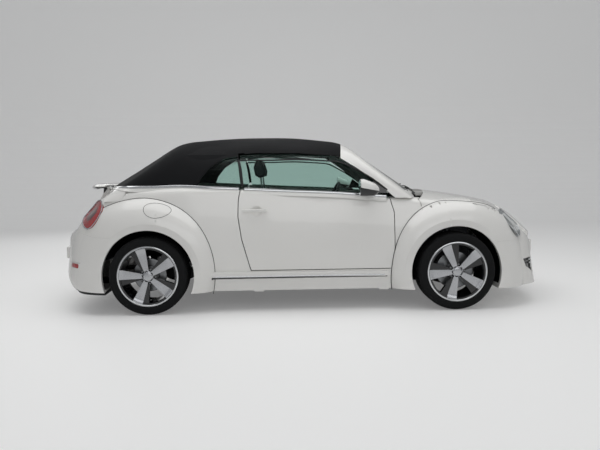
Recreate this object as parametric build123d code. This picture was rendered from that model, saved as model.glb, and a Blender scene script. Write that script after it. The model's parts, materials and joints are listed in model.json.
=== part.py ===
from build123d import *
from math import cos, radians, sin
import os

os.makedirs("parts", exist_ok=True)

# A two-door, four-seat soft-top roadster with its top up.
# Millimetres. +X points forward, +Y to the car's left, +Z up.
# The origin is on the ground, under the middle of the car.

# ---- driving dimensions --------------------------------------------------------------------
LENGTH = 4278
WIDTH = 1808
HEIGHT = 1473
WHEELBASE = 2537
AXLES_MIDDLE_X = -10
TRACK_FRONT = 1578
TRACK_REAR = 1544
GROUND_CLEARANCE = 175
BELT_Z = 1000
DOOR_FRONT_X = 755
DOOR_REAR_X = -541
DOOR_BOTTOM_Z = 348

PANEL = 32              # thickness of the outer panels with their inner frames
DOOR_THICKNESS = 70
FABRIC = 20             # soft top with its lining
SCREEN_GLASS = 6
SIDE_GLASS = 5
SEAM = 0.6              # between panels that stay put
MOVING_GAP = 7          # round doors and lids
SEAT_GAP = 0.3          # between a part and what carries it

TYRE_RADIUS = 322
TYRE_WIDTH = 234
RIM_SEAT_RADIUS = 229
RIM_FLANGE_RADIUS = 248
RIM_WIDTH = 226
RIM_WALL = 12
WHEEL_SPOKES = 5
ARCH_CLEARANCE = 55     # from the tyre's tread to the wheel arch
WELL_WALL = 8

# ---- stations worked out from them ---------------------------------------------------------
NOSE_X = LENGTH / 2
TAIL_X = -LENGTH / 2
HALF_WIDTH = WIDTH / 2
FRONT_AXLE_X = AXLES_MIDDLE_X + WHEELBASE / 2
REAR_AXLE_X = AXLES_MIDDLE_X - WHEELBASE / 2
WHEEL_Z = TYRE_RADIUS
ARCH_RADIUS = TYRE_RADIUS + ARCH_CLEARANCE
SIDES = {"left": 1, "right": -1}


def mirrored(shape):
    return mirror(shape, about=Plane.XZ)


def block(x, y, z):
    """A box between two limits on each axis."""
    size = (x[1] - x[0], y[1] - y[0], z[1] - z[0])
    middle = ((x[0] + x[1]) / 2, (y[0] + y[1]) / 2, (z[0] + z[1]) / 2)
    return Pos(*middle) * Box(*size)


def rod(start, end, radius):
    """A round bar from one point to another."""
    run = Vector(*end) - Vector(*start)
    plane = Plane(origin=start, z_dir=run.normalized())
    return extrude(plane * Circle(radius), run.length)


def across(points, y, grow=0):
    """A prism across the car whose outline is given in side view as (x, z)."""
    outline = make_face(Polyline(*points, close=True))
    if grow:
        outline = offset(outline, grow, kind=Kind.INTERSECTION)
    face = Plane(origin=(0, y[1], 0), x_dir=(1, 0, 0), z_dir=(0, -1, 0)) * outline
    return extrude(face, y[1] - y[0])


def upright(points, z, grow=0):
    """A vertical prism whose outline is given in plan as (x, y)."""
    outline = make_face(Polyline(*points, close=True))
    if grow:
        outline = offset(outline, grow, kind=Kind.INTERSECTION)
    return extrude(Pos(0, 0, z[0]) * outline, z[1] - z[0])


def lengthwise(points, x, grow=0):
    """A prism along the car whose outline is given in front view as (y, z)."""
    outline = make_face(Polyline(*points, close=True))
    if grow:
        outline = offset(outline, grow, kind=Kind.INTERSECTION)
    face = Plane(origin=(x[0], 0, 0), x_dir=(0, 1, 0), z_dir=(1, 0, 0)) * outline
    return extrude(face, x[1] - x[0])


def drum(x, z, radius, y):
    """A cylinder across the car."""
    return rod((x, y[0], z), (x, y[1], z), radius)


# ---- the hull: the outer form of the body below the belt -----------------------------------
# Each section is an arc over the top, an arc down each side and a flat floor.
# top and shoulder are heights above the belt, the insets are from half the width.
HULL_SECTIONS = [
    # x, top, shoulder, shoulder inset, waist height, waist inset, sill inset
    (TAIL_X - 11, -360, -440, 284, 420, 224, 264),
    (TAIL_X + 149, -290, -390, 254, 430, 164, 184),
    (TAIL_X + 289, -105, -230, 244, 480, 129, 154),
    (TAIL_X + 459, 25, -65, 199, 520, 109, 134),
    (REAR_AXLE_X - 72, 85, 28, 160, 560, 101, 116),
    (DOOR_REAR_X + 41, 70, 8, 159, 560, 98, 114),
    (DOOR_FRONT_X - 15, 0, -72, 166, 560, 98, 114),
    (FRONT_AXLE_X - 258, -10, -90, 168, 560, 101, 114),
    (FRONT_AXLE_X + 32, -44, -120, 124, 540, 104, 119),
    (FRONT_AXLE_X + 342, -96, -187, 160, 500, 109, 129),
    (NOSE_X - 380, -138, -265, 300, 450, 144, 154),
    (NOSE_X - 289, -172, -345, 340, 440, 164, 164),
    (NOSE_X - 79, -335, -470, 420, 400, 224, 224),
    (NOSE_X + 11, -420, -520, 460, 380, 264, 264),
]
# The wings stand out of the hull as shallow domes about these centres.
FLARES = [
    # x, z, outer radius
    (FRONT_AXLE_X + 27, WHEEL_Z + 8, 567),
    (REAR_AXLE_X - 40, WHEEL_Z + 30, 584),
]
FLARE_ROOT_INSET = 108
FLARE_BULGE = 24
# Half outlines of the hull in plan, at the ground and at the belt: (from nose or tail, y)
CORNERS_LOW = [(66, 500), (190, 722), (500, 886)]
CORNERS_HIGH = [(240, 480), (345, 645), (600, 862)]


def hull_section(x, top, shoulder, shoulder_in, waist_z, waist_in, sill_in, inset, belly):
    z_top = BELT_Z + top - inset
    z_shoulder = BELT_Z + shoulder - 0.7 * inset
    z_floor = GROUND_CLEARANCE + belly
    y_shoulder = HALF_WIDTH - shoulder_in - inset
    y_waist = HALF_WIDTH - waist_in - inset
    y_sill = HALF_WIDTH - sill_in - inset
    edges = [
        ThreePointArc((x, -y_shoulder, z_shoulder), (x, 0, z_top), (x, y_shoulder, z_shoulder)),
        ThreePointArc((x, y_shoulder, z_shoulder), (x, y_waist, waist_z), (x, y_sill, z_floor)),
        Line((x, y_sill, z_floor), (x, -y_sill, z_floor)),
        ThreePointArc((x, -y_sill, z_floor), (x, -y_waist, waist_z), (x, -y_shoulder, z_shoulder)),
    ]
    return Face(Wire(edges))


def plan_outline(z, corners, inset):
    """The hull's outline in plan: an arc over each end, an arc round each corner."""
    nose = NOSE_X - inset
    side = HALF_WIDTH - inset
    (a, ya), (b, yb), (c, yc) = corners
    ya, yb, yc = ya - 0.5 * inset, yb - 0.6 * inset, yc - inset
    right = [
        ThreePointArc((nose - a, -ya, z), (nose, 0, z), (nose - a, ya, z)),
        ThreePointArc((nose - a, ya, z), (nose - b, yb, z), (nose - c, yc, z)),
        Line((nose - c, yc, z), (nose - c - 250, side, z)),
        Line((nose - c - 250, side, z), (-(nose - c - 250), side, z)),
        Line((-(nose - c - 250), side, z), (-(nose - c), yc, z)),
        ThreePointArc((-(nose - c), yc, z), (-(nose - b), yb, z), (-(nose - a), ya, z)),
        ThreePointArc((-(nose - a), ya, z), (-nose, 0, z), (-(nose - a), -ya, z)),
        ThreePointArc((-(nose - a), -ya, z), (-(nose - b), -yb, z), (-(nose - c), -yc, z)),
        Line((-(nose - c), -yc, z), (-(nose - c - 250), -side, z)),
        Line((-(nose - c - 250), -side, z), (nose - c - 250, -side, z)),
        Line((nose - c - 250, -side, z), (nose - c, -yc, z)),
        ThreePointArc((nose - c, -yc, z), (nose - b, -yb, z), (nose - a, -ya, z)),
    ]
    return Face(Wire(right))


def hull_core(inset, belly=None):
    """The hull without its wings; belly is how far its floor is raised."""
    raised = inset if belly is None else belly
    return loft([hull_section(*row, inset, raised) for row in HULL_SECTIONS])


def flare_dome(x, z, radius, inset):
    """A shallow dome about a wheel's axis, flat inside the wheel arch."""
    lip = HALF_WIDTH - inset
    root = HALF_WIDTH - FLARE_ROOT_INSET - inset
    rim = z + radius - 0.5 * inset
    middle = ((lip + root) / 2 + FLARE_BULGE, z + (ARCH_RADIUS + radius) / 2)
    edges = [
        Line((x, 600, z), (x, lip, z)),
        Line((x, lip, z), (x, lip, z + ARCH_RADIUS)),
        ThreePointArc((x, lip, z + ARCH_RADIUS), (x, middle[0], middle[1]), (x, root, rim)),
        Line((x, root, rim), (x, 600, rim)),
        Line((x, 600, rim), (x, 600, z)),
    ]
    return revolve(Face(Wire(edges)), Axis((x, 0, z), (0, 1, 0)), 360)


UNDER_TAIL = [(-20, 60), (-20, 330), (14, 330), (186, 208), (264, 170), (330, 60)]


def under_tail(inset):
    """What is cut away below the tail, given from the tail's end."""
    outline = [(TAIL_X + x + 0.4 * inset, z + inset) for x, z in UNDER_TAIL]
    return across(outline, (-WIDTH, WIDTH))


def hull(inset, belly=None):
    """The body's outer form, or a smaller copy for the inner face of its panels."""
    form = hull_core(inset, belly)
    raised = GROUND_CLEARANCE + (inset if belly is None else belly)
    above_floor = block((-LENGTH, LENGTH), (-WIDTH, WIDTH), (raised, 2 * HEIGHT))
    for x, z, radius in FLARES:
        dome = flare_dome(x, z, radius, inset) & above_floor
        form = form + dome + mirrored(dome)
    low = plan_outline(GROUND_CLEARANCE - 10, CORNERS_LOW, inset)
    high = plan_outline(BELT_Z + 120, CORNERS_HIGH, inset)
    return (form & loft([low, high], ruled=True)) - under_tail(inset)



# ---- the shut lines and openings that split the hull into panels ---------------------------
DOOR_OUTLINE = [
    # x, z in side view, from the rear top corner round
    (DOOR_REAR_X + 31, BELT_Z + 60),
    (DOOR_REAR_X + 4, BELT_Z - 70),
    (DOOR_REAR_X, BELT_Z - 208),
    (DOOR_REAR_X + 28, BELT_Z - 394),
    (DOOR_REAR_X + 97, DOOR_BOTTOM_Z + 12),
    (DOOR_REAR_X + 103, DOOR_BOTTOM_Z),
    (DOOR_FRONT_X - 17, DOOR_BOTTOM_Z),
    (DOOR_FRONT_X - 8, DOOR_BOTTOM_Z + 60),
    (DOOR_FRONT_X, DOOR_BOTTOM_Z + 177),
    (DOOR_FRONT_X, BELT_Z - 190),
    (DOOR_FRONT_X - 22, BELT_Z - 110),
    (DOOR_FRONT_X - 50, BELT_Z + 60),
]
SILL_TOP_Z = DOOR_BOTTOM_Z - MOVING_GAP
SILL_INNER_Y = HALF_WIDTH - 162
SILL_ENDS = (DOOR_REAR_X + 104, DOOR_FRONT_X - 27)
BONNET_CORNER = (FRONT_AXLE_X - 209, 830)       # rear end of the bonnet's side edge, (x, y)
BONNET_REAR = [(FRONT_AXLE_X - 284, 720), (FRONT_AXLE_X - 123, 0)]
BONNET_NOSE = [(FRONT_AXLE_X + 330, 830), (NOSE_X - 380, 570), (NOSE_X + 30, 420)]
BUMPER_TOP_FRONT = [(NOSE_X - 560, 562), (NOSE_X - 290, 568), (NOSE_X + 20, 592)]
BUMPER_TOP_REAR = [(TAIL_X + 420, 640), (TAIL_X + 150, 690), (TAIL_X - 20, 640)]
ARCH_FRONT_END = NOSE_X - 530
ARCH_REAR_END = TAIL_X + 500
CAB_HALF_WIDTH = 660
CAB_REAR_X = TAIL_X + 500
COWL_REAR_X = FRONT_AXLE_X - 395
LID_FRONT_X = TAIL_X + 404
LID_OUTLINE = [(LID_FRONT_X, 560), (TAIL_X + 250, 500), (TAIL_X + 120, 470)]
TONNEAU_Y = LID_OUTLINE[0][1]
LID_REAR_Z = 702
LID_RIM = (8, 16)                  # thickness and width of the lid's thin edge

# lamps: middle of the lens, its outward direction, and its radius
HEADLAMP = ((NOSE_X - 381, 655, 690), (0.717, 0.36, 0.597), 140)
TAIL_LAMP = ((TAIL_X + 399, 690, 808), (-0.637, 0.30, 0.71), 126)
LAMP_FIT = 1


def plan_prism(points, arc_points, z, grow=0):
    """A vertical prism whose rear edge is an arc; the rest is straight."""
    start, middle, end = arc_points
    edges = [ThreePointArc(start, middle, end)]
    loop = [end] + points + [start]
    edges += [Line(a, b) for a, b in zip(loop, loop[1:])]
    outline = make_face(Wire(edges))
    if grow:
        outline = offset(outline, grow, kind=Kind.INTERSECTION)
    return extrude(Pos(0, 0, z[0]) * outline, z[1] - z[0])


def bonnet_region(grow):
    """What the bonnet covers: between its shut lines and outside the wings' circles."""
    x_rear, y_rear = BONNET_REAR[0]
    nose = [p for p in BONNET_NOSE]
    left = [(x_rear, y_rear), BONNET_CORNER] + nose
    right = [(x, -y) for x, y in reversed(left)]
    middle = (BONNET_REAR[1][0], 0)
    region = plan_prism(left[1:] + right[:-1], [right[-1], middle, left[0]], (380, 1200), grow)
    x, z, radius = FLARES[0]
    return region - drum(x, z, radius - grow, (-WIDTH, WIDTH))


def front_bumper_region(grow):
    top = [(x, z + grow) for x, z in BUMPER_TOP_FRONT]
    x_rear = ARCH_FRONT_END - 60 - grow
    outline = [(x_rear, top[0][1])] + top + [(NOSE_X + 40, 60), (x_rear, 60)]
    return across(outline, (-WIDTH, WIDTH))


def rear_bumper_region(grow):
    top = [(x, z + grow) for x, z in BUMPER_TOP_REAR]
    x_front = ARCH_REAR_END + 60 + grow
    outline = [(x_front, top[0][1])] + top + [(TAIL_X - 40, 60), (x_front, 60)]
    return across(outline, (-WIDTH, WIDTH))


def lid_region(grow):
    half = [(x, y) for x, y in LID_OUTLINE]
    outline = half + [(TAIL_X - 60, LID_OUTLINE[-1][1])]
    outline += [(x, -y) for x, y in reversed(outline)]
    return upright(outline, (LID_REAR_Z - grow, 1300), grow)


def lamp_barrel(lamp, grow=0, side=1):
    (x, y, z), (dx, dy, dz), radius = lamp
    middle = Vector(x, side * y, z)
    direction = Vector(dx, side * dy, dz).normalized()
    return rod(tuple(middle - direction * 160), tuple(middle + direction * 160), radius + grow)


def sill_region(grow=0):
    low = GROUND_CLEARANCE - 20
    return block((SILL_ENDS[0], SILL_ENDS[1]), (600, WIDTH), (low, SILL_TOP_Z + grow))


# ---- hull panels ---------------------------------------------------------------------------
core = hull_core(0)
outer = hull(0)
shell = outer - hull(PANEL)
for axle_x in (FRONT_AXLE_X, REAR_AXLE_X):
    shell = shell - drum(axle_x, WHEEL_Z, ARCH_RADIUS, (-WIDTH, WIDTH))
belly = (GROUND_CLEARANCE - 20, GROUND_CLEARANCE + PANEL + 1)
shell = shell - block((ARCH_REAR_END + 60, ARCH_FRONT_END - 60), (-SILL_INNER_Y, SILL_INNER_Y), belly)
cab_hole = block((CAB_REAR_X, COWL_REAR_X), (-CAB_HALF_WIDTH, CAB_HALF_WIDTH), (800, 1300))
left_half = block((-LENGTH, LENGTH), (0, WIDTH), (0, 2 * HEIGHT))
door_zone = across(DOOR_OUTLINE, (0, WIDTH))
door_zone_wide = across(DOOR_OUTLINE, (0, WIDTH), MOVING_GAP)

parts = {}


def add(name, shape):
    solids = sorted(shape.solids(), key=lambda s: -s.volume)
    kept = [s for s in solids if s.volume > 2000]
    parts[name] = kept[0] if len(kept) == 1 else Compound(children=kept)


def add_pair(name, left):
    add(name + "_left", left)
    add(name + "_right", mirrored(left))


bonnet = shell & bonnet_region(0)
bonnet = bonnet - front_bumper_region(MOVING_GAP)
for side in (-1, 1):
    bonnet = bonnet - lamp_barrel(HEADLAMP, MOVING_GAP, side)

lamp_surround = block((NOSE_X - 330, NOSE_X + 40), (-WIDTH, WIDTH), (550, 700))
lamp_surround = lamp_surround - bonnet_region(MOVING_GAP)
front_bumper = shell & (front_bumper_region(0) + lamp_surround)
for side in (-1, 1):
    front_bumper = front_bumper - lamp_barrel(HEADLAMP, LAMP_FIT, side)
rear_bumper = shell & rear_bumper_region(0)

front_zone = block((DOOR_FRONT_X - 60, NOSE_X + 50), (0, WIDTH), (0, 1300))
wing = (shell & front_zone) - door_zone_wide - bonnet_region(MOVING_GAP)
wing = wing - front_bumper_region(SEAM) - sill_region(SEAM) - cab_hole
wing = wing - block((NOSE_X - 330 - SEAM, NOSE_X + 40), (-WIDTH, WIDTH), (0, 700 + SEAM))
wing = wing - block((COWL_REAR_X, NOSE_X), (-1, CAB_HALF_WIDTH), (880, 1300))
wing = wing - lamp_barrel(HEADLAMP, LAMP_FIT)

rear_zone = block((TAIL_X - 50, DOOR_REAR_X + 130), (0, WIDTH), (0, 1300))
quarter = (shell & rear_zone) - door_zone_wide - lid_region(MOVING_GAP)
quarter = quarter - rear_bumper_region(SEAM) - sill_region(SEAM) - cab_hole
quarter = quarter - lamp_barrel(TAIL_LAMP, LAMP_FIT)
quarter = quarter - block((LID_FRONT_X, CAB_REAR_X), (-1, TONNEAU_Y + SEAM), (800, 1300))
quarter = quarter - block((TAIL_X, LID_FRONT_X), (-1, LID_OUTLINE[-1][1] + MOVING_GAP), (600, LID_REAR_Z))

tonneau = shell & block((LID_FRONT_X + MOVING_GAP, CAB_REAR_X), (-TONNEAU_Y, TONNEAU_Y), (880, 1300))
boot_lid = shell & lid_region(0)
boot_lid = boot_lid - (hull_core(LID_RIM[0]) - lid_region(-LID_RIM[1]))
sill = (shell & sill_region()) & left_half
door = (core - hull_core(DOOR_THICKNESS)) & door_zone
door = door - block((-LENGTH, LENGTH), (-1, CAB_HALF_WIDTH), (0, HEIGHT))

add_pair("rear_quarter", quarter)

# ---- lamps ---------------------------------------------------------------------------------
for name, lamp in (("headlamp", HEADLAMP), ("tail_lamp", TAIL_LAMP)):
    add_pair(name, (shell & lamp_barrel(lamp)) & left_half)

# ---- the cabin top -------------------------------------------------------------------------
EAVE = (600, 1318)                  # y, z where side window and roof meet
SIDE_MID = (692, 1160)
SIDE_FOOT = (752, 930)
ROOF_CROWN = (330, HEIGHT - 34)
ROOF_PEAK_X = -359
ROOF_REAR = [(TAIL_X + 489, 1083), (TAIL_X + 1002, HEIGHT - 71), (TAIL_X + 1380, HEIGHT - 19)]
ROOF_FRONT = [(20, HEIGHT - 17), (374, HEIGHT - 80), (470, HEIGHT - 118)]
# the screen and the back of the top in plan, low and high: (x at the side, x in the middle)
TOP_PLAN = [
    # z, screen at y = 800, screen in the middle, back at y = 800, back in the middle
    (930, 872, 1095, TAIL_X + 500, TAIL_X + 242),
    (1500, 96, 254, TAIL_X + 1514, TAIL_X + 1163),
]
SCREEN_LEAN = 1.8                   # run along the car for each step square to the glass


def cabin(inset):
    """The outer form of the soft top and windows, or a smaller copy of it."""
    foot = (SIDE_FOOT[0] - inset, SIDE_FOOT[1])
    mid = (SIDE_MID[0] - inset, SIDE_MID[1])
    eave = (EAVE[0] - 0.9 * inset, EAVE[1] - 0.5 * inset)
    crown = (ROOF_CROWN[0], ROOF_CROWN[1] - inset)
    peak = (0, HEIGHT - inset)
    edges = [
        ThreePointArc(foot, mid, eave),
        ThreePointArc(eave, crown, peak),
        ThreePointArc(peak, (-crown[0], crown[1]), (-eave[0], eave[1])),
        ThreePointArc((-eave[0], eave[1]), (-mid[0], mid[1]), (-foot[0], foot[1])),
        Line((-foot[0], foot[1]), foot),
    ]
    front_view = Plane(origin=(-LENGTH / 2, 0, 0), x_dir=(0, 1, 0), z_dir=(1, 0, 0))
    form = extrude(front_view * make_face(Wire(edges)), LENGTH)
    low_back, kink, rear_mid = [(x + 0.5 * inset, z - inset) for x, z in ROOF_REAR]
    low_back = (ROOF_REAR[0][0] + inset, low_back[1])
    front_mid, header, sky = [(x, z - inset) for x, z in ROOF_FRONT]
    peak = (ROOF_PEAK_X, HEIGHT - inset)
    edges = [
        Line(low_back, kink),
        ThreePointArc(kink, rear_mid, peak),
        ThreePointArc(peak, front_mid, header),
        Line(header, (1200, header[1])),
        Line((1200, header[1]), (1200, 900)),
        Line((1200, 900), (low_back[0], 900)),
        Line((low_back[0], 900), low_back),
    ]
    side_view = Plane(origin=(0, WIDTH, 0), x_dir=(1, 0, 0), z_dir=(0, -1, 0))
    form = form & extrude(side_view * make_face(Wire(edges)), 2 * WIDTH)
    outlines = []
    for z, screen_side, screen_mid, back_side, back_mid in TOP_PLAN:
        run = SCREEN_LEAN * inset
        screen_side, screen_mid = screen_side - run, screen_mid - run
        back_side, back_mid = back_side + run, back_mid + run
        edges = [
            ThreePointArc((screen_side, -800, z), (screen_mid, 0, z), (screen_side, 800, z)),
            Line((screen_side, 800, z), (back_side, 800, z)),
            ThreePointArc((back_side, 800, z), (back_mid, 0, z), (back_side, -800, z)),
            Line((back_side, -800, z), (screen_side, -800, z)),
        ]
        outlines.append(Face(Wire(edges)))
    return form & loft(outlines, ruled=True)


HEADER_SIDE_X = 300                 # where the soft top meets the screen frame
HEADER_MID_X = 362
SCREEN_OPENING = [(-648, 960), (-512, 1318), (-300, 1345), (300, 1345), (512, 1318), (648, 960)]
DOOR_WINDOW = [(-497, BELT_Z + 60), (-530, 1313), (-392, 1322), (-34, 1318), (146, 1303),
               (285, 1290), (443, 1184), (581, 1087), (760, 930), (760, 880), (-497, 880)]
QUARTER_WINDOW = [(-522, 880), (-522, BELT_Z + 60), (-552, 1300), (-653, 1285), (-774, 1205),
                  (-848, 1116), (-892, 1015), (-892, 880)]
REAR_WINDOW = [(-390, 1140), (-350, 1310), (350, 1310), (390, 1140)]
REAR_WINDOW_X = (TAIL_X + 200, TAIL_X + 1100)
FRAME_DEPTH = 40
GLASS_INSET = 8


def header_cut(shift):
    """Everything behind the joint between soft top and screen frame."""
    side, middle = HEADER_SIDE_X + shift, HEADER_MID_X + shift
    corners = [(TAIL_X, 800), (TAIL_X, -800)]
    return plan_prism(corners, [(side, -800), (middle, 0), (side, 800)], (900, 1600))


above_hull = cabin(0) - hull_core(-1)
skin = cabin(0) - cabin(FABRIC)
rear_hole = lengthwise(REAR_WINDOW, REAR_WINDOW_X)
soft_top = (skin & header_cut(0)) & above_hull
soft_top = soft_top - across(DOOR_WINDOW, (-WIDTH, WIDTH), MOVING_GAP)
soft_top = soft_top - across(QUARTER_WINDOW, (-WIDTH, WIDTH)) - rear_hole
strip = across([(-545, 880), (-545, 1345), (-490, 1345), (-490, 880)], (-WIDTH, WIDTH))
soft_top = soft_top - (strip & across(DOOR_WINDOW, (-WIDTH, WIDTH), MOVING_GAP + 8))
soft_top = soft_top - across(DOOR_OUTLINE, (-WIDTH, WIDTH), MOVING_GAP)
add("soft_top", soft_top)

screen_hole = lengthwise(SCREEN_OPENING, (0, NOSE_X))
frame = (cabin(0) - cabin(FRAME_DEPTH)) - header_cut(SEAM)
frame = frame - across(DOOR_WINDOW, (-WIDTH, WIDTH), MOVING_GAP) - screen_hole
frame = frame - hull_core(-SEAM)
add("windscreen_frame", frame)

screen = (cabin(GLASS_INSET) - cabin(GLASS_INSET + SCREEN_GLASS)) - header_cut(SEAM)
screen = screen & lengthwise(SCREEN_OPENING, (0, NOSE_X), -SEAM)
add("windscreen", screen - hull_core(-SEAM))

side_skin = (cabin(GLASS_INSET) - cabin(GLASS_INSET + SIDE_GLASS)) & left_half
door_glass = (side_skin & across(DOOR_WINDOW, (0, WIDTH))) - hull_core(-SEAM)
door_glass = door_glass & block((DOOR_REAR_X, DOOR_FRONT_X - 45), (500, WIDTH), (800, HEIGHT))
add_pair("door_glass", door_glass)
quarter_glass = side_skin & across(QUARTER_WINDOW, (0, WIDTH), -SEAM)
quarter_glass = quarter_glass - hull_core(-SEAM) - door_zone_wide
add_pair("quarter_glass", quarter_glass - block((-LENGTH, LENGTH), (0, 500), (0, HEIGHT)))
rear_glass = (cabin(4) - cabin(4 + SIDE_GLASS)) & lengthwise(REAR_WINDOW, REAR_WINDOW_X, -SEAM)
add("rear_window", rear_glass & block((TAIL_X, TAIL_X + 1300), (-WIDTH, WIDTH), (1000, HEIGHT)))


# ---- hinges --------------------------------------------------------------------------------
PIN_RADIUS = 6
PIN_PLAY = 0.3
LUG_RADIUS = 13
LUG_WIDTH = 30
EAR_WIDTH = 12
PIN_END = 16            # how far a bonnet pin stands out of its lug
DOOR_HINGE = (DOOR_FRONT_X - 58, HALF_WIDTH - 115)       # x, y of the upright axis
DOOR_HINGE_HEIGHTS = (425, 590)
BONNET_HINGE = (FRONT_AXLE_X - 236, 935)                 # x, z of the axis across the car
BONNET_HINGE_Y = 300
LID_HINGE = (LID_FRONT_X + 42, 1040)
LID_HINGE_Y = 420

# doors hang on two pins in bent arms, which reach round the door's front edge from inside
ARM_REACH = 95                      # how far the arms go in from the pins
ARM_HALF = 8
post_x = (DOOR_FRONT_X + MOVING_GAP + 10, DOOR_FRONT_X + 60)
hx, hy = DOOR_HINGE
for z in DOOR_HINGE_HEIGHTS:
    low, high = z - LUG_WIDTH / 2, z + LUG_WIDTH / 2
    notch = block((hx - 22, DOOR_FRONT_X + 5), (hy - ARM_REACH, hy + ARM_HALF + 1), (low - 6, high + 6))
    door = door - notch
    door = door + rod((hx, hy, low - 7), (hx, hy, high + 7), PIN_RADIUS)
    lug = rod((hx, hy, low), (hx, hy, high), ARM_HALF)
    arm = block((hx - ARM_HALF, hx + ARM_HALF), (hy - ARM_REACH, hy), (low, high))
    arm = arm + block((hx - ARM_HALF, post_x[1]), (hy - ARM_REACH, hy - ARM_REACH + 14), (low, high))
    lug = (lug + arm) - rod((hx, hy, low - 1), (hx, hy, high + 1), PIN_RADIUS + PIN_PLAY)
    pillar = block(post_x, (hy - ARM_REACH, hy + 2), (low - 40, high + 40))
    wing = wing + (lug + pillar)
HANDLE_X = (DOOR_REAR_X + 41, DOOR_REAR_X + 236)
HANDLE_Y = (HALF_WIDTH - 108, HALF_WIDTH - 90)
HANDLE_Z = (BELT_Z - 168, BELT_Z - 148)
HANDLE_FOOT = 22
door = door + block(HANDLE_X, HANDLE_Y, HANDLE_Z)
for x in (HANDLE_X[0], HANDLE_X[1] - HANDLE_FOOT):
    door = door + block((x, x + HANDLE_FOOT), (HANDLE_Y[0] - 30, HANDLE_Y[1] - 1), HANDLE_Z)
add_pair("front_wing", wing)
add_pair("door", door)

# the bonnet turns on pins between ears on top of the firewall
FIREWALL_X = (FRONT_AXLE_X - 258, FRONT_AXLE_X - 244)
FIREWALL_TOP = 870
bx, bz = BONNET_HINGE
firewall_ears = []
for side in (-1, 1):
    y = side * BONNET_HINGE_Y
    lug = rod((bx, y - LUG_WIDTH / 2, bz), (bx, y + LUG_WIDTH / 2, bz), LUG_RADIUS)
    arm = block((bx, bx + 110), (y - LUG_WIDTH / 2, y + LUG_WIDTH / 2), (bz - 10, bz + 10))
    lug = (lug + arm) - (outer - hull_core(PANEL - 1))
    lug = lug - rod((bx, y - 90, bz), (bx, y + 90, bz), PIN_RADIUS + PIN_PLAY)
    bonnet = bonnet + lug
    reach = LUG_WIDTH / 2 + PIN_END
    pin = rod((bx, y - reach, bz), (bx, y + reach, bz), PIN_RADIUS)
    for end in (-1, 1):
        inner = y + end * (LUG_WIDTH / 2 + 2)
        outer_y = inner + end * EAR_WIDTH
        ys = (min(inner, outer_y), max(inner, outer_y))
        pin = pin + block((FIREWALL_X[0], bx + 12), ys, (FIREWALL_TOP - 40, bz + 12))
    firewall_ears.append(pin)

# its rear corners are thinned where they swing past the wings
BONNET_SWING = 50
SWING_CLEARANCE = 6
flare_x, flare_z, flare_radius = FLARES[0]
for turn in range(5, BONNET_SWING + 1, 5):
    angle = radians(turn)
    run, rise = flare_x - bx, flare_z - bz
    middle_x = bx + run * cos(angle) + rise * sin(angle)
    middle_z = bz - run * sin(angle) + rise * cos(angle)
    for side in (-1, 1):
        ys = sorted((side * CAB_HALF_WIDTH, side * WIDTH))
        passing = drum(middle_x, middle_z, flare_radius - MOVING_GAP + SWING_CLEARANCE, ys)
        bonnet = bonnet - (passing & block((bx - 80, bx + 60), ys, (0, HEIGHT)))
add("bonnet", bonnet)

# the boot lid turns on pins under the spoiler's front edge
lx, lz = LID_HINGE
for side in (-1, 1):
    y = side * LID_HINGE_Y
    fin = across([(lx - 11, lz), (lx + 11, lz), (lx + 24, 970), (lx - 12, 970)], (y - 9, y + 9))
    fin = fin + drum(lx, lz, LUG_RADIUS, (y - 9, y + 9))
    tonneau = tonneau + fin - drum(lx, lz, PIN_RADIUS + PIN_PLAY, (y - 40, y + 40))
    boot_lid = boot_lid + drum(lx, lz, PIN_RADIUS, (y - 24, y + 24))
    for end in (-1, 1):
        near = y + end * 12
        ys = (min(near, near + end * EAR_WIDTH), max(near, near + end * EAR_WIDTH))
        ear = across([(lx - 11, lz + 2), (lx + 11, lz + 2), (lx + 9, lz - 10), (LID_FRONT_X - 2, 985),
                      (LID_FRONT_X - 2, 950), (LID_FRONT_X - 50, 925)], ys)
        boot_lid = boot_lid + ear + drum(lx, lz, LUG_RADIUS - 2, ys)
add("tonneau_panel", tonneau)
add("boot_lid", boot_lid)

# spoiler: a wing section, bowed in plan, on two feet
SPOILER_X = (TAIL_X + 222, TAIL_X + 461)
SPOILER_Z = 1035
SPOILER_HALF_SPAN = 560
SPOILER_BOW = 78                    # how far its ends lie forward of its middle
SPOILER_FOOT_Y = 300
SPOILER_FOOT_HALF = 14
sx0, sx1 = SPOILER_X
blade = [(sx0, SPOILER_Z + 6), (sx0 + 45, SPOILER_Z + 34), (sx1 - 12, SPOILER_Z + 34),
         (sx1, SPOILER_Z + 22), (sx1 - 40, SPOILER_Z + 6), (sx0 + 60, SPOILER_Z - 14)]
tip_x = sx0 + SPOILER_BOW
blade_plan = plan_prism([(sx1 + 1, SPOILER_HALF_SPAN - 12), (sx1 + 1, 12 - SPOILER_HALF_SPAN)],
                        [(tip_x, -SPOILER_HALF_SPAN), (sx0, 0), (tip_x, SPOILER_HALF_SPAN)], (900, 1200))
spoiler = across(blade, (-SPOILER_HALF_SPAN, SPOILER_HALF_SPAN)) & blade_plan
for side in (-1, 1):
    y = side * SPOILER_FOOT_Y
    foot = across([(sx0 + 66, SPOILER_Z), (sx1 - 90, SPOILER_Z + 10), (sx1 - 120, 840), (sx0 + 74, 840)],
                  (y - SPOILER_FOOT_HALF, y + SPOILER_FOOT_HALF))
    spoiler = spoiler + (foot - hull_core(-SEAM))
    y = side * LID_HINGE_Y
    spoiler = spoiler - block((lx - 20, sx1 + 1), (y - 32, y + 32), (0, lz + 18))
add("spoiler", spoiler)

STRUT_TOP = (FRONT_AXLE_X - 22, 600, 815)

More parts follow.
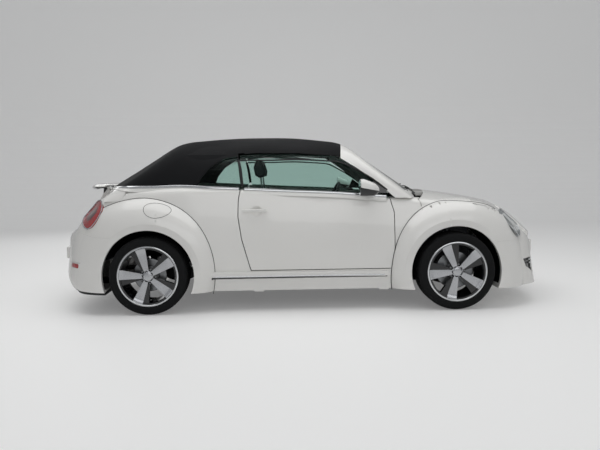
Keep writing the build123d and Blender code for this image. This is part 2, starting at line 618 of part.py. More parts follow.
# ---- cowl, floor and firewall --------------------------------------------------------------
FLOOR_Z = (GROUND_CLEARANCE + 3, GROUND_CLEARANCE + 23)
KICK_X = REAR_AXLE_X + 478
COWL_DROP = 40
BOOT_FLOOR_Z = 455
cowl_reach = [(x - MOVING_GAP, y) for x, y in BONNET_REAR]
(cowl_x, cowl_y), (cowl_mid, _) = cowl_reach
cowl_zone = plan_prism([(500, cowl_y), (500, -cowl_y)], [(cowl_x, -cowl_y), (cowl_mid, 0), (cowl_x, cowl_y)],
                       (800, 1100))
cowl = (hull_core(COWL_DROP) - hull_core(COWL_DROP + 12)) & cowl_zone
cowl = cowl & block((COWL_REAR_X, NOSE_X), (-CAB_HALF_WIDTH, CAB_HALF_WIDTH), (800, 1100))
for side in (-1, 1):
    y = side * BONNET_HINGE_Y
    room = LUG_WIDTH / 2 + PIN_END + SEAM
    cowl = cowl - block((FIREWALL_X[0] - SEAM, NOSE_X), (y - room, y + room), (800, 1100))
add("cowl_panel", cowl - cabin(GLASS_INSET - SEAM))

TUNNEL_REAR_X = KICK_X - 1
floor = block((KICK_X, FIREWALL_X[1]), (-SILL_INNER_Y + SEAM, SILL_INNER_Y - SEAM), FLOOR_Z)
floor = floor + block((KICK_X, KICK_X + 15), (-600, 600), (FLOOR_Z[0], BOOT_FLOOR_Z))
floor = floor + block((TAIL_X + 200, KICK_X + 15), (-530, 530), (BOOT_FLOOR_Z - 15, BOOT_FLOOR_Z))
firewall = [(-700, FLOOR_Z[0]), (700, FLOOR_Z[0]), (700, FIREWALL_TOP - 100), (530, FIREWALL_TOP),
            (-530, FIREWALL_TOP), (-700, FIREWALL_TOP - 100)]
floor = floor + lengthwise(firewall, FIREWALL_X)
floor = floor + (block((TUNNEL_REAR_X, FIREWALL_X[0]), (-110, 110), (FLOOR_Z[1], 330)))
floor = floor - block((TUNNEL_REAR_X, FIREWALL_X[1] + 1), (-90, 90), (0, 315))
well_radius = ARCH_RADIUS + 8
for axle_x, inner_y in ((FRONT_AXLE_X, 460), (REAR_AXLE_X, 530)):
    room = (axle_x - well_radius, axle_x + well_radius)
    for side in (-1, 1):
        ys = (min(side * inner_y, side * WIDTH), max(side * inner_y, side * WIDTH))
        floor = floor - block(room, ys, (0, WHEEL_Z)) - drum(axle_x, WHEEL_Z, well_radius, ys)
    well = drum(axle_x, WHEEL_Z, well_radius + WELL_WALL, (inner_y, 860))
    well = well - drum(axle_x, WHEEL_Z, well_radius, (0, WIDTH))
    if axle_x == REAR_AXLE_X:
        well = well + drum(axle_x, WHEEL_Z, well_radius + WELL_WALL, (inner_y - WELL_WALL, inner_y))
        well = well & block((-LENGTH, LENGTH), (0, WIDTH), (BOOT_FLOOR_Z - 15, 2 * HEIGHT))
    well = well & block((-LENGTH, LENGTH), (0, WIDTH), (GROUND_CLEARANCE + PANEL + SEAM, 2 * HEIGHT))
    floor = floor + well + mirrored(well)
for side in (-1, 1):
    sx, sy, sz = STRUT_TOP[0], side * STRUT_TOP[1], STRUT_TOP[2]
    tower = rod((sx, sy, 690), (sx, sy, sz + 18), 74) - rod((sx, sy, 600), (sx, sy, sz + 6), 64)
    floor = floor - rod((sx, sy, 600), (sx, sy, sz - 10), 64)
    floor = floor + (tower - drum(FRONT_AXLE_X, WHEEL_Z, well_radius, (-WIDTH, WIDTH)))
for ear in firewall_ears:
    floor = floor + ear
floor = floor & hull(PANEL + SEAM, 0)
add("floor_pan", floor)

# ---- interior ------------------------------------------------------------------------------
FX = FIREWALL_X[0]
dash = across([(FX - SEAM, 700), (FX - SEAM, 846), (FX - 175, 866), (640, 935), (565, 900),
               (545, 790), (620, 700)], (-650, 650))
WHEEL_RIM = (330, 360, 868)
STEERING_TILT = radians(24)
rim_plane = Plane(origin=WHEEL_RIM, z_dir=(-cos(STEERING_TILT), 0, sin(STEERING_TILT)))
rim = rim_plane * Torus(184, 15)
rim = rim + rim_plane * Pos(0, 0, -12) * Cylinder(52, 44)
for angle in (0, 90, 180, 270):
    if angle != 90:
        spoke = Rot(0, 0, angle) * Pos(115, 0, -10) * Box(150, 30, 12)
        rim = rim + rim_plane * spoke
add("steering_wheel", rim)
column_dir = Vector(cos(STEERING_TILT), 0, -sin(STEERING_TILT))
hub_back = Vector(*WHEEL_RIM) + column_dir * (34 + SEAT_GAP)
column = rod(tuple(hub_back), tuple(Vector(*WHEEL_RIM) + column_dir * 330), 38)
add("dashboard", dash + column)

for name, y in (("left", 365), ("right", -365)):
    seat = across([(-270, 335), (240, 352), (262, 400), (240, 470), (-130, 445), (-270, 985),
                   (-340, 1045), (-410, 1010), (-300, 400)], (y - 250, y + 250))
    seat = seat + across([(-330, 1030), (-320, 1130), (-300, 1160), (-340, 1280), (-400, 1290),
                          (-440, 1200), (-420, 1120), (-370, 1030)], (y - 120, y + 120))
    seat = seat + block((-200, 200), (y - 215, y - 185), (FLOOR_Z[1] + SEAT_GAP, 360))
    seat = seat + block((-200, 200), (y + 185, y + 215), (FLOOR_Z[1] + SEAT_GAP, 360))
    add("seat_front_" + name, seat)
bench_x = KICK_X + 15 + SEAT_GAP
bench_z = FLOOR_Z[1] + SEAT_GAP
bench = across([(bench_x, bench_z), (bench_x + 330, bench_z), (bench_x + 400, 330), (bench_x + 370, 440),
                (bench_x + 20, 430), (bench_x - 150, 940), (bench_x - 215, 960), (bench_x - 260, 930),
                (bench_x - 110, BOOT_FLOOR_Z + SEAT_GAP), (bench_x, BOOT_FLOOR_Z + SEAT_GAP)], (-525, 525))
add("seat_rear", bench - block((KICK_X, 0), (-111, 111), (0, 331)))

# ---- chassis -------------------------------------------------------------------------------
sub_x = (FIREWALL_X[1] + SEAM, FRONT_AXLE_X + 260)
subframe = block(sub_x, (-430, 430), (GROUND_CLEARANCE + 3, GROUND_CLEARANCE + 58))
BALL = (FRONT_AXLE_X, 745, 204)
BALL_RADIUS = 14
STUD = (9, 46)                      # radius, length of the ball's stud, on the steering axis
STRUT_BEARING = (30, 36, 12)        # radius, foot and top below the strut's end, of its turning bearing
steering_axis = (Vector(*STRUT_TOP) - Vector(*BALL)).normalized()
for side in (-1, 1):
    arm = upright([(FRONT_AXLE_X - 150, side * 400), (FRONT_AXLE_X + 60, side * 400),
                   (FRONT_AXLE_X + 20, side * 720), (FRONT_AXLE_X - 20, side * 720)],
                  (GROUND_CLEARANCE + 3, GROUND_CLEARANCE + 23))
    seat_z = BALL[2] - BALL_RADIUS - SEAT_GAP
    arm = arm + rod((BALL[0], side * BALL[1], seat_z - 8), (BALL[0], side * BALL[1], seat_z), 20)
    ys = sorted((side * 680, side * BALL[1]))
    arm = arm + block((BALL[0] - 20, BALL[0] + 20), ys, (seat_z - 8, seat_z))
    arm = arm - block((BALL[0] - 60, BALL[0] + 60), sorted((side * 684, side * 800)), (seat_z, 300))
    subframe = subframe + arm
add("front_subframe", subframe)
add("engine_block", block((FRONT_AXLE_X - 170, FRONT_AXLE_X + 250), (-380, 380),
                          (GROUND_CLEARANCE + 58 + SEAM, 740)))

SPINDLE_RADIUS = 16
HUB_PLAY = 0.3
for name, side in SIDES.items():
    x, z = FRONT_AXLE_X, WHEEL_Z
    upright_block = block((x - 42, x + 42), (690, 738), (235, 440))
    foot = Pos(*BALL) * Sphere(BALL_RADIUS)
    foot = foot + rod(BALL, tuple(Vector(*BALL) + steering_axis * STUD[1]), STUD[0])
    clamp = block((x - 30, x + 30), (600, 700), (405, 440))
    strut = rod((x, 628, 400), STRUT_TOP, 25)
    bearing_foot = tuple(Vector(*STRUT_TOP) - steering_axis * STRUT_BEARING[1])
    bearing_top = tuple(Vector(*STRUT_TOP) - steering_axis * STRUT_BEARING[2])
    strut = strut + rod(bearing_foot, bearing_top, STRUT_BEARING[0])
    spindle = rod((x, 700, z), (x, 838, z), SPINDLE_RADIUS)
    caliper = block((x - 172, x - 95), (736, 838), (z - 62, z + 62))
    caliper = caliper - drum(x, z, 164, (780, 812)) - drum(x, z, 92, (0, 900))
    bracket = block((x - 110, x - 30), (700, 745), (z - 40, z + 40))
    knuckle = upright_block + foot + clamp + strut + spindle + (caliper & drum(x, z, 196, (0, 900))) + bracket
    if side < 0:
        knuckle = mirrored(knuckle)
    add("knuckle_" + name, knuckle)

beam_x = REAR_AXLE_X + 190
axle = block((beam_x - 40, beam_x + 40), (-600, 600), (270, 330))
for side in (-1, 1):
    arm_y = (min(side * 560, side * 610), max(side * 560, side * 610))
    arm = block((REAR_AXLE_X - 60, KICK_X - SEAM), arm_y, (270, 340))
    stub = rod((REAR_AXLE_X, side * 600, WHEEL_Z), (REAR_AXLE_X, side * 716, WHEEL_Z), 40)
    spindle = rod((REAR_AXLE_X, side * 700, WHEEL_Z), (REAR_AXLE_X, side * 821, WHEEL_Z), SPINDLE_RADIUS)
    axle = axle + arm + stub + spindle
add("rear_axle", axle)

# ---- wheels and tyres ----------------------------------------------------------------------
def revolve_profile(points, x, z, side):
    """A ring about a wheel's axis from an (radius, y) outline, y on the left side."""
    path = [(x, side * y, z + r) for r, y in points]
    face = Face(Wire([Line(a, b) for a, b in zip(path, path[1:] + path[:1])]))
    return revolve(face, Axis((x, 0, z), (0, 1, 0)), 360)


AXLES = [
    # name, x, track, disc radius, angle of the first spoke
    ("front", FRONT_AXLE_X, TRACK_FRONT, 156, 42),
    ("rear", REAR_AXLE_X, TRACK_REAR, 136, 31.6),
]
SPOKE_ROOT = 46
SPOKE_TIP = 116
for axle_name, x, track, disc_radius, first_spoke in AXLES:
    middle = track / 2
    half = RIM_WIDTH / 2
    z = WHEEL_Z
    rim_points = [(RIM_FLANGE_RADIUS, middle - half), (RIM_FLANGE_RADIUS, middle - half + 8),
                  (RIM_SEAT_RADIUS, middle - half + 9), (RIM_SEAT_RADIUS, middle + half - 9),
                  (RIM_FLANGE_RADIUS, middle + half - 8), (RIM_FLANGE_RADIUS, middle + half),
                  (RIM_SEAT_RADIUS - RIM_WALL + 4, middle + half), (RIM_SEAT_RADIUS - RIM_WALL, middle + half - 20),
                  (RIM_SEAT_RADIUS - RIM_WALL, middle - half)]
    tyre_half = TYRE_WIDTH / 2
    bead = RIM_SEAT_RADIUS + SEAM
    tyre_points = [(bead, middle - half + 10), (250, middle - half + 10), (252, middle - tyre_half + 2),
                   (280, middle - tyre_half), (306, middle - tyre_half + 6), (TYRE_RADIUS, middle - tyre_half + 24),
                   (TYRE_RADIUS, middle + tyre_half - 24), (306, middle + tyre_half - 6), (280, middle + tyre_half),
                   (252, middle + tyre_half - 2), (250, middle + half - 10), (bead, middle + half - 10)]
    face_y = middle + half
    hub_points = [(SPINDLE_RADIUS + HUB_PLAY, middle - 42), (34, middle - 42), (34, middle - 12),
                  (74, middle - 4), (78, middle + 20), (74, face_y - 34), (44, face_y - 18), (0.5, face_y - 18),
                  (0.5, middle + 52), (SPINDLE_RADIUS + HUB_PLAY, middle + 52)]
    disc_points = [(60, middle - 4), (disc_radius, middle - 4), (disc_radius, middle + 18), (60, middle + 18)]
    wheel = revolve_profile(rim_points, x, z, 1) + revolve_profile(hub_points, x, z, 1)
    wheel = wheel + revolve_profile(disc_points, x, z, 1)
    for n in range(WHEEL_SPOKES):
        angle = first_spoke + n * 360 / WHEEL_SPOKES
        inner, tip = 60, RIM_SEAT_RADIUS - 6
        spoke = extrude(Plane(origin=(x, face_y - 44, z), x_dir=(1, 0, 0), z_dir=(0, 1, 0)) * Rot(0, 0, angle) *
                        make_face(Polyline((inner, -SPOKE_ROOT / 2), (tip, -SPOKE_TIP / 2), (tip, SPOKE_TIP / 2),
                                           (inner, SPOKE_ROOT / 2), close=True)), 36)
        wheel = wheel + (spoke & drum(x, z, RIM_SEAT_RADIUS - 4, (0, WIDTH)))
    tyre = revolve_profile(tyre_points, x, z, 1)
    for name, side in SIDES.items():
        add("wheel_%s_%s" % (axle_name, name), wheel if side > 0 else mirrored(wheel))
        add("tyre_%s_%s" % (axle_name, name), tyre if side > 0 else mirrored(tyre))

# ---- mirrors and exhaust -------------------------------------------------------------------
mirror_body = Box(157, 150, 144)
mirror_body = Pos(526, 936, 1024) * fillet(mirror_body.edges(), 44)
mirror_arm = lengthwise([(735, 908), (772, 908), (900, 966), (900, 1000), (735, 985)], (506, 580))
mirror_shape = (mirror_body + mirror_arm) - hull_core(-SEAM) - cabin(0)
add_pair("mirror", mirror_shape)

# ---- front intakes, plate pads, sill strips and jacking pads -------------------------------
INTAKE_DEPTH = 20                   # how far the black grilles lie behind the bumper's skin
BAR_DEPTH = 7
CENTRE_INTAKE = [(-430, 375), (-395, 256), (395, 256), (430, 375)]
SIDE_INTAKE = [(505, 398), (520, 262), (640, 262), (735, 330), (745, 398)]
INTAKES = [
    # name, outline in front view, heights of its bars, half a bar's height
    ("front_grille", CENTRE_INTAKE, (286, 316, 346), 5),
    ("intake_left", SIDE_INTAKE, (352, 380), 7),
    ("intake_right", [(-y, z) for y, z in SIDE_INTAKE], (352, 380), 7),
]
FOG_LAMP = (580, 303, 36)           # y, z, radius
intake_span = (ARCH_FRONT_END, NOSE_X + 40)
grille_skin = Pos(-INTAKE_DEPTH, 0, 0) * shell
bar_skin = Pos(-BAR_DEPTH, 0, 0) * shell
for name, outline, bars, half_bar in INTAKES:
    front_bumper = front_bumper - lengthwise(outline, intake_span)
    mouth = lengthwise(outline, intake_span, -SEAM)
    grille = grille_skin & mouth
    for z in bars:
        slat = block(intake_span, (-WIDTH, WIDTH), (z - half_bar, z + half_bar))
        grille = grille + (bar_skin & mouth & slat)
    if name != "front_grille":
        side = SIDES[name.split("_")[1]]
        fog_y, fog_z, fog_radius = FOG_LAMP
        lamp = rod((ARCH_FRONT_END, side * fog_y, fog_z), (NOSE_X, side * fog_y, fog_z), fog_radius)
        grille = grille + (bar_skin & mouth & lamp)
    add(name, grille)

# flat pads for the number plates, each with two screw holes
PLATE_HALF = 260
PLATE_Z = (392, 504)
PLATE_SCREW_Y = 150
PLATE_SCREW_RADIUS = 3.2
PLATE_PAD_DEPTH = 50
pad_middle = (PLATE_Z[0] + PLATE_Z[1]) / 2


def plate_pad(end):
    """The pad on the nose, or on the tail where end is -1."""
    xs = sorted((end * (NOSE_X - 1 - PLATE_PAD_DEPTH), end * (NOSE_X - 1)))
    return block(xs, (-PLATE_HALF, PLATE_HALF), PLATE_Z)


def plate_screws(end):
    """The pad's two screw holes, through the bumper's skin."""
    deep, out = end * (NOSE_X - 100), end * (NOSE_X + 20)
    left = rod((deep, PLATE_SCREW_Y, pad_middle), (out, PLATE_SCREW_Y, pad_middle), PLATE_SCREW_RADIUS)
    return left + mirrored(left)


front_bumper = (front_bumper + plate_pad(1)) - plate_screws(1)
rear_bumper = (rear_bumper + plate_pad(-1)) - plate_screws(-1)
add("front_bumper", front_bumper)

STRIP_OUTLINE = [(-787, 318), (-746, 338), (693, 326), (720, 308), (699, 291), (668, 286), (-746, 300)]
STRIP_OUT_Y = HALF_WIDTH - 76
strip_left = across(STRIP_OUTLINE, (HALF_WIDTH - 160, STRIP_OUT_Y)) - hull(-SEAM)
add_pair("sill_strip", strip_left)
JACK_X = (SILL_ENDS[0] + 60, SILL_ENDS[1] - 60)
JACK_HALF = 40
JACK_Y = (SILL_INNER_Y + 4, SILL_INNER_Y + 42)
JACK_DROP = 10
for x in JACK_X:
    sill = sill + block((x - JACK_HALF, x + JACK_HALF), JACK_Y, (GROUND_CLEARANCE - JACK_DROP, GROUND_CLEARANCE + 1))
add_pair("sill", sill)

muffler = block((TAIL_X + 240, TAIL_X + 430), (-420, 420), (245, 400))
muffler = muffler + rod((FIREWALL_X[0] - 100, 0, 235), (TAIL_X + 400, 0, 235), 28)
for y in (330, 400):
    pipe = ((TAIL_X + 250, y, 268), (TAIL_X + 110, y, 200))
    muffler = muffler + rod(*pipe, 22)
    rear_bumper = rear_bumper - rod((TAIL_X + 240, y, 263), (TAIL_X + 60, y, 176), 30)
add("rear_bumper", rear_bumper)
add("exhaust", muffler)

for name, shape in parts.items():
    export_step(shape, "parts/%s.step" % name)
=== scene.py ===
# %% [markdown]
# # A soft-top roadster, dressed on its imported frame
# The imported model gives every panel, joint and size. This script dresses it: paint, cloth, glass, chrome,
# rubber and leather. Nothing here moves a joint or changes a size. Each step first says what the piece is
# on a real car.

# %% The frame
import bmesh
import bpy
import json
import time
import numpy as np
from math import cos, radians, sin
from mathutils import Matrix, Vector

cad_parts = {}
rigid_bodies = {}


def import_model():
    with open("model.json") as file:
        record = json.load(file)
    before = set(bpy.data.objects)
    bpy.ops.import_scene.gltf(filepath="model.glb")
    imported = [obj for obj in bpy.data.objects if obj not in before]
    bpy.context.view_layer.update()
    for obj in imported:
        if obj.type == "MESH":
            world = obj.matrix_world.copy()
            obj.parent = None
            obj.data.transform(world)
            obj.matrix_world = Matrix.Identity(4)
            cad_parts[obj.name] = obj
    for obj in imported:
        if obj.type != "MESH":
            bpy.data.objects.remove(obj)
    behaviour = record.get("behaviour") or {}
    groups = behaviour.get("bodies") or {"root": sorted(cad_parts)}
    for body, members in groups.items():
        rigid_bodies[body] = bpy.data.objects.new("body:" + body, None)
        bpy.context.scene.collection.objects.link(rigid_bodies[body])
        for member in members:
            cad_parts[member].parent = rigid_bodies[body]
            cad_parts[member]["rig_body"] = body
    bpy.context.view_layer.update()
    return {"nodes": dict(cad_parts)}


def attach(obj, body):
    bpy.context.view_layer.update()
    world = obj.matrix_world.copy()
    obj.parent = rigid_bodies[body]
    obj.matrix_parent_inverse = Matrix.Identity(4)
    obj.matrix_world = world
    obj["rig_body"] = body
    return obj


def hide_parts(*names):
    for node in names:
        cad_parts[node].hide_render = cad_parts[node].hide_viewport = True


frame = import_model()

# %% [markdown]
# ## Materials
# A material is a small graph of nodes ending in one shader. Colours are written as sRGB hex values, the way
# a paint chart gives them, and one function turns them into the linear numbers that a renderer adds up. One
# more function adds a node with its settings and links.

# %% Colour and node helpers
def linear(hex_colour):
    """An sRGB hex value as linear RGBA: below 0.04045 a straight line, above it a power of 2.4."""
    channels = np.array([int(hex_colour[i:i + 2], 16) / 255 for i in (1, 3, 5)])
    low = channels / 12.92
    high = ((channels + 0.055) / 1.055) ** 2.4
    return (*np.where(channels <= 0.04045, low, high), 1.0)


def add_node(material, kind, links=None, **settings):
    """A node of that kind. Settings are its properties or its sockets' values; links name sockets and
    their sources."""
    node = material.node_tree.nodes.new(kind)
    for name, value in settings.items():
        if hasattr(node, name):
            setattr(node, name, value)
        else:
            node.inputs[name.replace("_", " ")].default_value = value
    for name, source in (links or {}).items():
        socket = node.inputs[name] if isinstance(name, int) else node.inputs[name.replace("_", " ")]
        material.node_tree.links.new(source, socket)
    return node


def finish_of(name, colour, roughness, metallic=0.0, **sockets):
    """A material with one Principled shader, and that shader's node."""
    material = bpy.data.materials.new(name)
    material.use_nodes = True
    shader = material.node_tree.nodes["Principled BSDF"]
    shader.inputs["Base Color"].default_value = linear(colour)
    shader.inputs["Roughness"].default_value = roughness
    shader.inputs["Metallic"].default_value = metallic
    for socket, value in sockets.items():
        shader.inputs[socket.replace("_", " ")].default_value = value
    material.diffuse_color = linear(colour)
    return material, shader


def grain(material, shader, size_mm, height_mm, detail, mix):
    """Noise of one real grain size on Object coordinates: height to the normal, mix to the colour."""
    place = add_node(material, "ShaderNodeTexCoord")
    noise = add_node(material, "ShaderNodeTexNoise", {"Vector": place.outputs["Object"]},
                     Scale=1000.0 / size_mm, Detail=detail)
    bump = add_node(material, "ShaderNodeBump", {"Height": noise.outputs["Fac"]},
                    Strength=1.0, Distance=height_mm / 1000.0)
    material.node_tree.links.new(bump.outputs["Normal"], shader.inputs["Normal"])
    ramp = add_node(material, "ShaderNodeValToRGB", {"Fac": noise.outputs["Fac"]})
    for element, position, colour in zip(ramp.color_ramp.elements, (0.25, 0.75), mix):
        element.position, element.color = position, linear(colour)
    material.node_tree.links.new(ramp.outputs["Color"], shader.inputs["Base Color"])


def grained(name, colour, mix, roughness, metallic, size_mm, height_mm, detail=3.0, **sockets):
    """A finish with grain, as used for everything but paint, hood cloth and clear glass."""
    material, shader = finish_of(name, colour, roughness, metallic, **sockets)
    grain(material, shader, size_mm, height_mm, detail, mix)
    return material


print("a mid grey, linear:", round(float(linear("#808080")[0]), 4))

# %% [markdown]
# ### Paint
# Body panels are steel with primer, a white base coat and a clear lacquer. The base coat scatters light
# evenly and the lacquer adds one sharp reflection, so the shader has a fairly rough base under a smooth
# coat. Lacquer is never quite flat: sprayed paint has an orange peel of a few millimetres, and it is what
# stops a panel looking like glass.

# %% White paint
white_paint, shader = finish_of("sprayed white lacquer", "#e9e8e4", 0.42, Coat_Weight=1.0,
                                Coat_Roughness=0.05,
                                Coat_IOR=1.5, Specular_IOR_Level=0.4)
place = add_node(white_paint, "ShaderNodeTexCoord")
peel = add_node(white_paint, "ShaderNodeTexNoise", {"Vector": place.outputs["Object"]}, Scale=240.0,
                Detail=1.0)
peel_bump = add_node(white_paint, "ShaderNodeBump", {"Height": peel.outputs["Fac"]}, Strength=0.25,
                     Distance=0.00012)
white_paint.node_tree.links.new(peel_bump.outputs["Normal"], shader.inputs["Coat Normal"])
tone = add_node(white_paint, "ShaderNodeTexNoise", {"Vector": place.outputs["Object"]}, Scale=1.1, Detail=1.0)
tone_ramp = add_node(white_paint, "ShaderNodeValToRGB", {"Fac": tone.outputs["Fac"]})
for element, colour in zip(tone_ramp.color_ramp.elements, ("#e6e5e1", "#ecebe8")):
    element.color = linear(colour)
white_paint.node_tree.links.new(tone_ramp.outputs["Color"], shader.inputs["Base Color"])
print("paint:", white_paint.name)

# %% [markdown]
# ### Cloth, plastics, rubber and metals
# The hood is woven acrylic: matt, nearly black, with a fine diagonal thread and a soft sheen at grazing
# angles. Interior plastics are moulded with a leather grain of about 2 mm. Tyre rubber is matt with a
# slight bloom. Chrome is a mirror, machined alloy keeps fine turning lines, and cast or pressed chassis
# parts are satin black.

# %% Hood cloth
hood_cloth, shader = finish_of("woven acrylic hood cloth", "#0d0e10", 0.92, Sheen_Weight=0.05,
                               Sheen_Roughness=0.5,
                               Specular_IOR_Level=0.25)
place = add_node(hood_cloth, "ShaderNodeTexCoord")
# its bands lie about 5 mm apart, much coarser than real thread, so that they show
weave = add_node(hood_cloth, "ShaderNodeTexWave", {"Vector": place.outputs["Object"]}, wave_type="BANDS",
                 bands_direction="DIAGONAL", Scale=70.0, Distortion=0.6, Detail=1.0)
threads = add_node(hood_cloth, "ShaderNodeTexNoise", {"Vector": place.outputs["Object"]}, Scale=420.0,
                   Detail=2.0)
mixed = add_node(hood_cloth, "ShaderNodeMath", {0: weave.outputs["Fac"], 1: threads.outputs["Fac"]},
                 operation="ADD")
cloth_bump = add_node(hood_cloth, "ShaderNodeBump", {"Height": mixed.outputs["Value"]}, Strength=0.6,
                      Distance=0.0006)
hood_cloth.node_tree.links.new(cloth_bump.outputs["Normal"], shader.inputs["Normal"])
cloth_ramp = add_node(hood_cloth, "ShaderNodeValToRGB", {"Fac": threads.outputs["Fac"]})
for element, colour in zip(cloth_ramp.color_ramp.elements, ("#08090a", "#131417")):
    element.color = linear(colour)
hood_cloth.node_tree.links.new(cloth_ramp.outputs["Color"], shader.inputs["Base Color"])
print("cloth:", hood_cloth.name)

# %% Rear bumper paint
# the paint ends along a line that drops toward the sides: bare plastic below PAINT_EDGE - PAINT_DROP y^2
PAINT_EDGE, PAINT_DROP = 0.215, 0.03
bumper_paint = white_paint.copy()
bumper_paint.name = "white lacquer over bare black plastic"
tree = bumper_paint.node_tree
painted = next(n for n in tree.nodes if n.type == "BSDF_PRINCIPLED")
bare = add_node(bumper_paint, "ShaderNodeBsdfPrincipled", Roughness=0.5)
bare.inputs["Base Color"].default_value = linear("#191a1c")
place = add_node(bumper_paint, "ShaderNodeTexCoord")
parts = add_node(bumper_paint, "ShaderNodeSeparateXYZ", {"Vector": place.outputs["Object"]})
square = add_node(bumper_paint, "ShaderNodeMath", {0: parts.outputs["Y"], 1: parts.outputs["Y"]},
                  operation="MULTIPLY")
line = add_node(bumper_paint, "ShaderNodeMath", {0: square.outputs["Value"], 2: parts.outputs["Z"]},
                operation="MULTIPLY_ADD")
line.inputs[1].default_value = PAINT_DROP
over = add_node(bumper_paint, "ShaderNodeMath", {0: line.outputs["Value"]}, operation="GREATER_THAN")
over.inputs[1].default_value = PAINT_EDGE
both = add_node(bumper_paint, "ShaderNodeMixShader",
                {0: over.outputs["Value"], 1: bare.outputs["BSDF"], 2: painted.outputs["BSDF"]})
tree.links.new(both.outputs["Shader"], tree.nodes["Material Output"].inputs["Surface"])
print("bumper paint:", bumper_paint.name)

# %% Plastics, rubber and metals
black_trim = grained("moulded black trim", "#191a1c", ("#151618", "#1f2022"), 0.5, 0.0, 2.5, 0.15,
                     Specular_IOR_Level=0.4)
gloss_black = grained("gloss black lacquer", "#0c0d0f", ("#0b0c0e", "#101114"), 0.12, 0.0, 6.0, 0.01,
                      Coat_Weight=0.6, Coat_Roughness=0.04)
dash_plastic = grained("grained dashboard plastic", "#26272a", ("#202124", "#2c2d30"), 0.6, 0.0, 2.0, 0.35,
                       detail=4.0, Specular_IOR_Level=0.35)
seat_leather = grained("grained leatherette", "#2b2b2e", ("#252528", "#333338"), 0.52, 0.0, 3.0, 0.3,
                       detail=5.0, Specular_IOR_Level=0.4)
tyre_rubber = grained("tyre rubber", "#101113", ("#0c0d0e", "#151617"), 0.85, 0.0, 5.0, 0.2,
                      Specular_IOR_Level=0.25)
seal_rubber = grained("rubber seal", "#101113", ("#0d0e10", "#141517"), 0.65, 0.0, 3.0, 0.08)
chassis_black = grained("satin chassis black", "#1b1c1e", ("#151617", "#242527"), 0.55, 0.0, 9.0, 0.3)
well_felt = grained("wheel well felt", "#0a0b0c", ("#070808", "#0e0f10"), 0.95, 0.0, 6.0, 1.0, detail=4.0,
                    Specular_IOR_Level=0.1)
bright_chrome = grained("plated chrome", "#d9dbdc", ("#d2d4d6", "#dfe1e2"), 0.09, 1.0, 30.0, 0.02)
machined_alloy = grained("machined alloy", "#c3c5c8", ("#b9bbbe", "#cccdd0"), 0.27, 1.0, 2.0, 0.02)
cast_iron = grained("turned brake iron", "#6d6f72", ("#5d5f62", "#7a7c7f"), 0.42, 1.0, 4.0, 0.06)
engine_cast = grained("cast engine alloy", "#6b6d70", ("#5c5e61", "#77797c"), 0.55, 0.8, 8.0, 0.5)
exhaust_steel = grained("stainless exhaust", "#9a9896", ("#85827e", "#a9a8a7"), 0.35, 1.0, 12.0, 0.1)
plate_white = grained("blank plate", "#dcdcd8", ("#d8d8d4", "#e0e0dc"), 0.4, 0.0, 40.0, 0.02)
print("materials:", len(bpy.data.materials))

# %% [markdown]
# ### Glass and lamps
# Car glass is about 5 mm thick, faintly green, and the side panes are tinted. A pane is drawn as a thin
# sheet: part of the light passes straight through and takes the tint, and the rest is mirrored, more so at
# a glancing angle. A mix of a transparent and a glossy shader does that and still lets the studio light
# into the cabin.

# %% Glass
def glass_of(name, tint, colour, cover, roughness=0.02):
    """A thin pane: tinted see-through, with a clear coat's reflection and a share of its own body colour."""
    material, shader = finish_of(name, colour, roughness, Coat_Weight=0.5, Coat_Roughness=0.01, IOR=1.5)
    tree = material.node_tree
    clear = add_node(material, "ShaderNodeBsdfTransparent")
    clear.inputs["Color"].default_value = linear(tint)
    mirror = add_node(material, "ShaderNodeFresnel", IOR=1.45)
    share = add_node(material, "ShaderNodeMath", {0: mirror.outputs["Fac"]}, operation="MULTIPLY_ADD")
    share.inputs[1].default_value = 1.0 - cover
    share.inputs[2].default_value = cover
    both = add_node(material, "ShaderNodeMixShader", {0: share.outputs["Value"], 1: clear.outputs["BSDF"],
                                                     2: shader.outputs["BSDF"]})
    tree.links.new(both.outputs["Shader"], tree.nodes["Material Output"].inputs["Surface"])
    return material


tinted_glass = glass_of("tinted side glass", "#eef9f6", "#2a3330", 0.02)
screen_glass = glass_of("laminated screen glass", "#f3faf8", "#39423f", 0.02)
lamp_glass = glass_of("clear lamp lens", "#fafbfb", "#e3e7e8", 0.05)
red_lens = grained("red lamp lens", "#a8131b", ("#8a0c14", "#b8161f"), 0.12, 0.0, 14.0, 0.3, detail=1.0,
                   Coat_Weight=1.0, Coat_Roughness=0.03)
smoke_lens = grained("smoked lamp lens", "#54272a", ("#46201f", "#653033"), 0.15, 0.0, 14.0, 0.3, detail=1.0,
                     Coat_Weight=1.0, Coat_Roughness=0.03)
print("glass:", tinted_glass.name, lamp_glass.name)

# %% [markdown]
# ## The body as one smooth function
# A real body is pressed from faired surfaces, and the eye reads them by how reflections run across the shut
# lines from one panel to the next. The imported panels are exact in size, but a mesh of them shades in
# facets. So the body's form is written here as one function of a point, negative inside and positive
# outside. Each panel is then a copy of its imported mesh, cut finer, with its outer skin laid on that
# function and its shading taken from the function's slope. The shut lines stay exactly where the frame has
# them.

# %% Smooth corners and circles
def smooth_max(a, b, k):
    """The larger of two distances, rounded over a width k where they cross: max plus (k - |a - b|)^2 / 4k."""
    near = np.clip(k - np.abs(a - b), 0, None)
    return np.maximum(a, b) + near ** 2 / (4 * k)


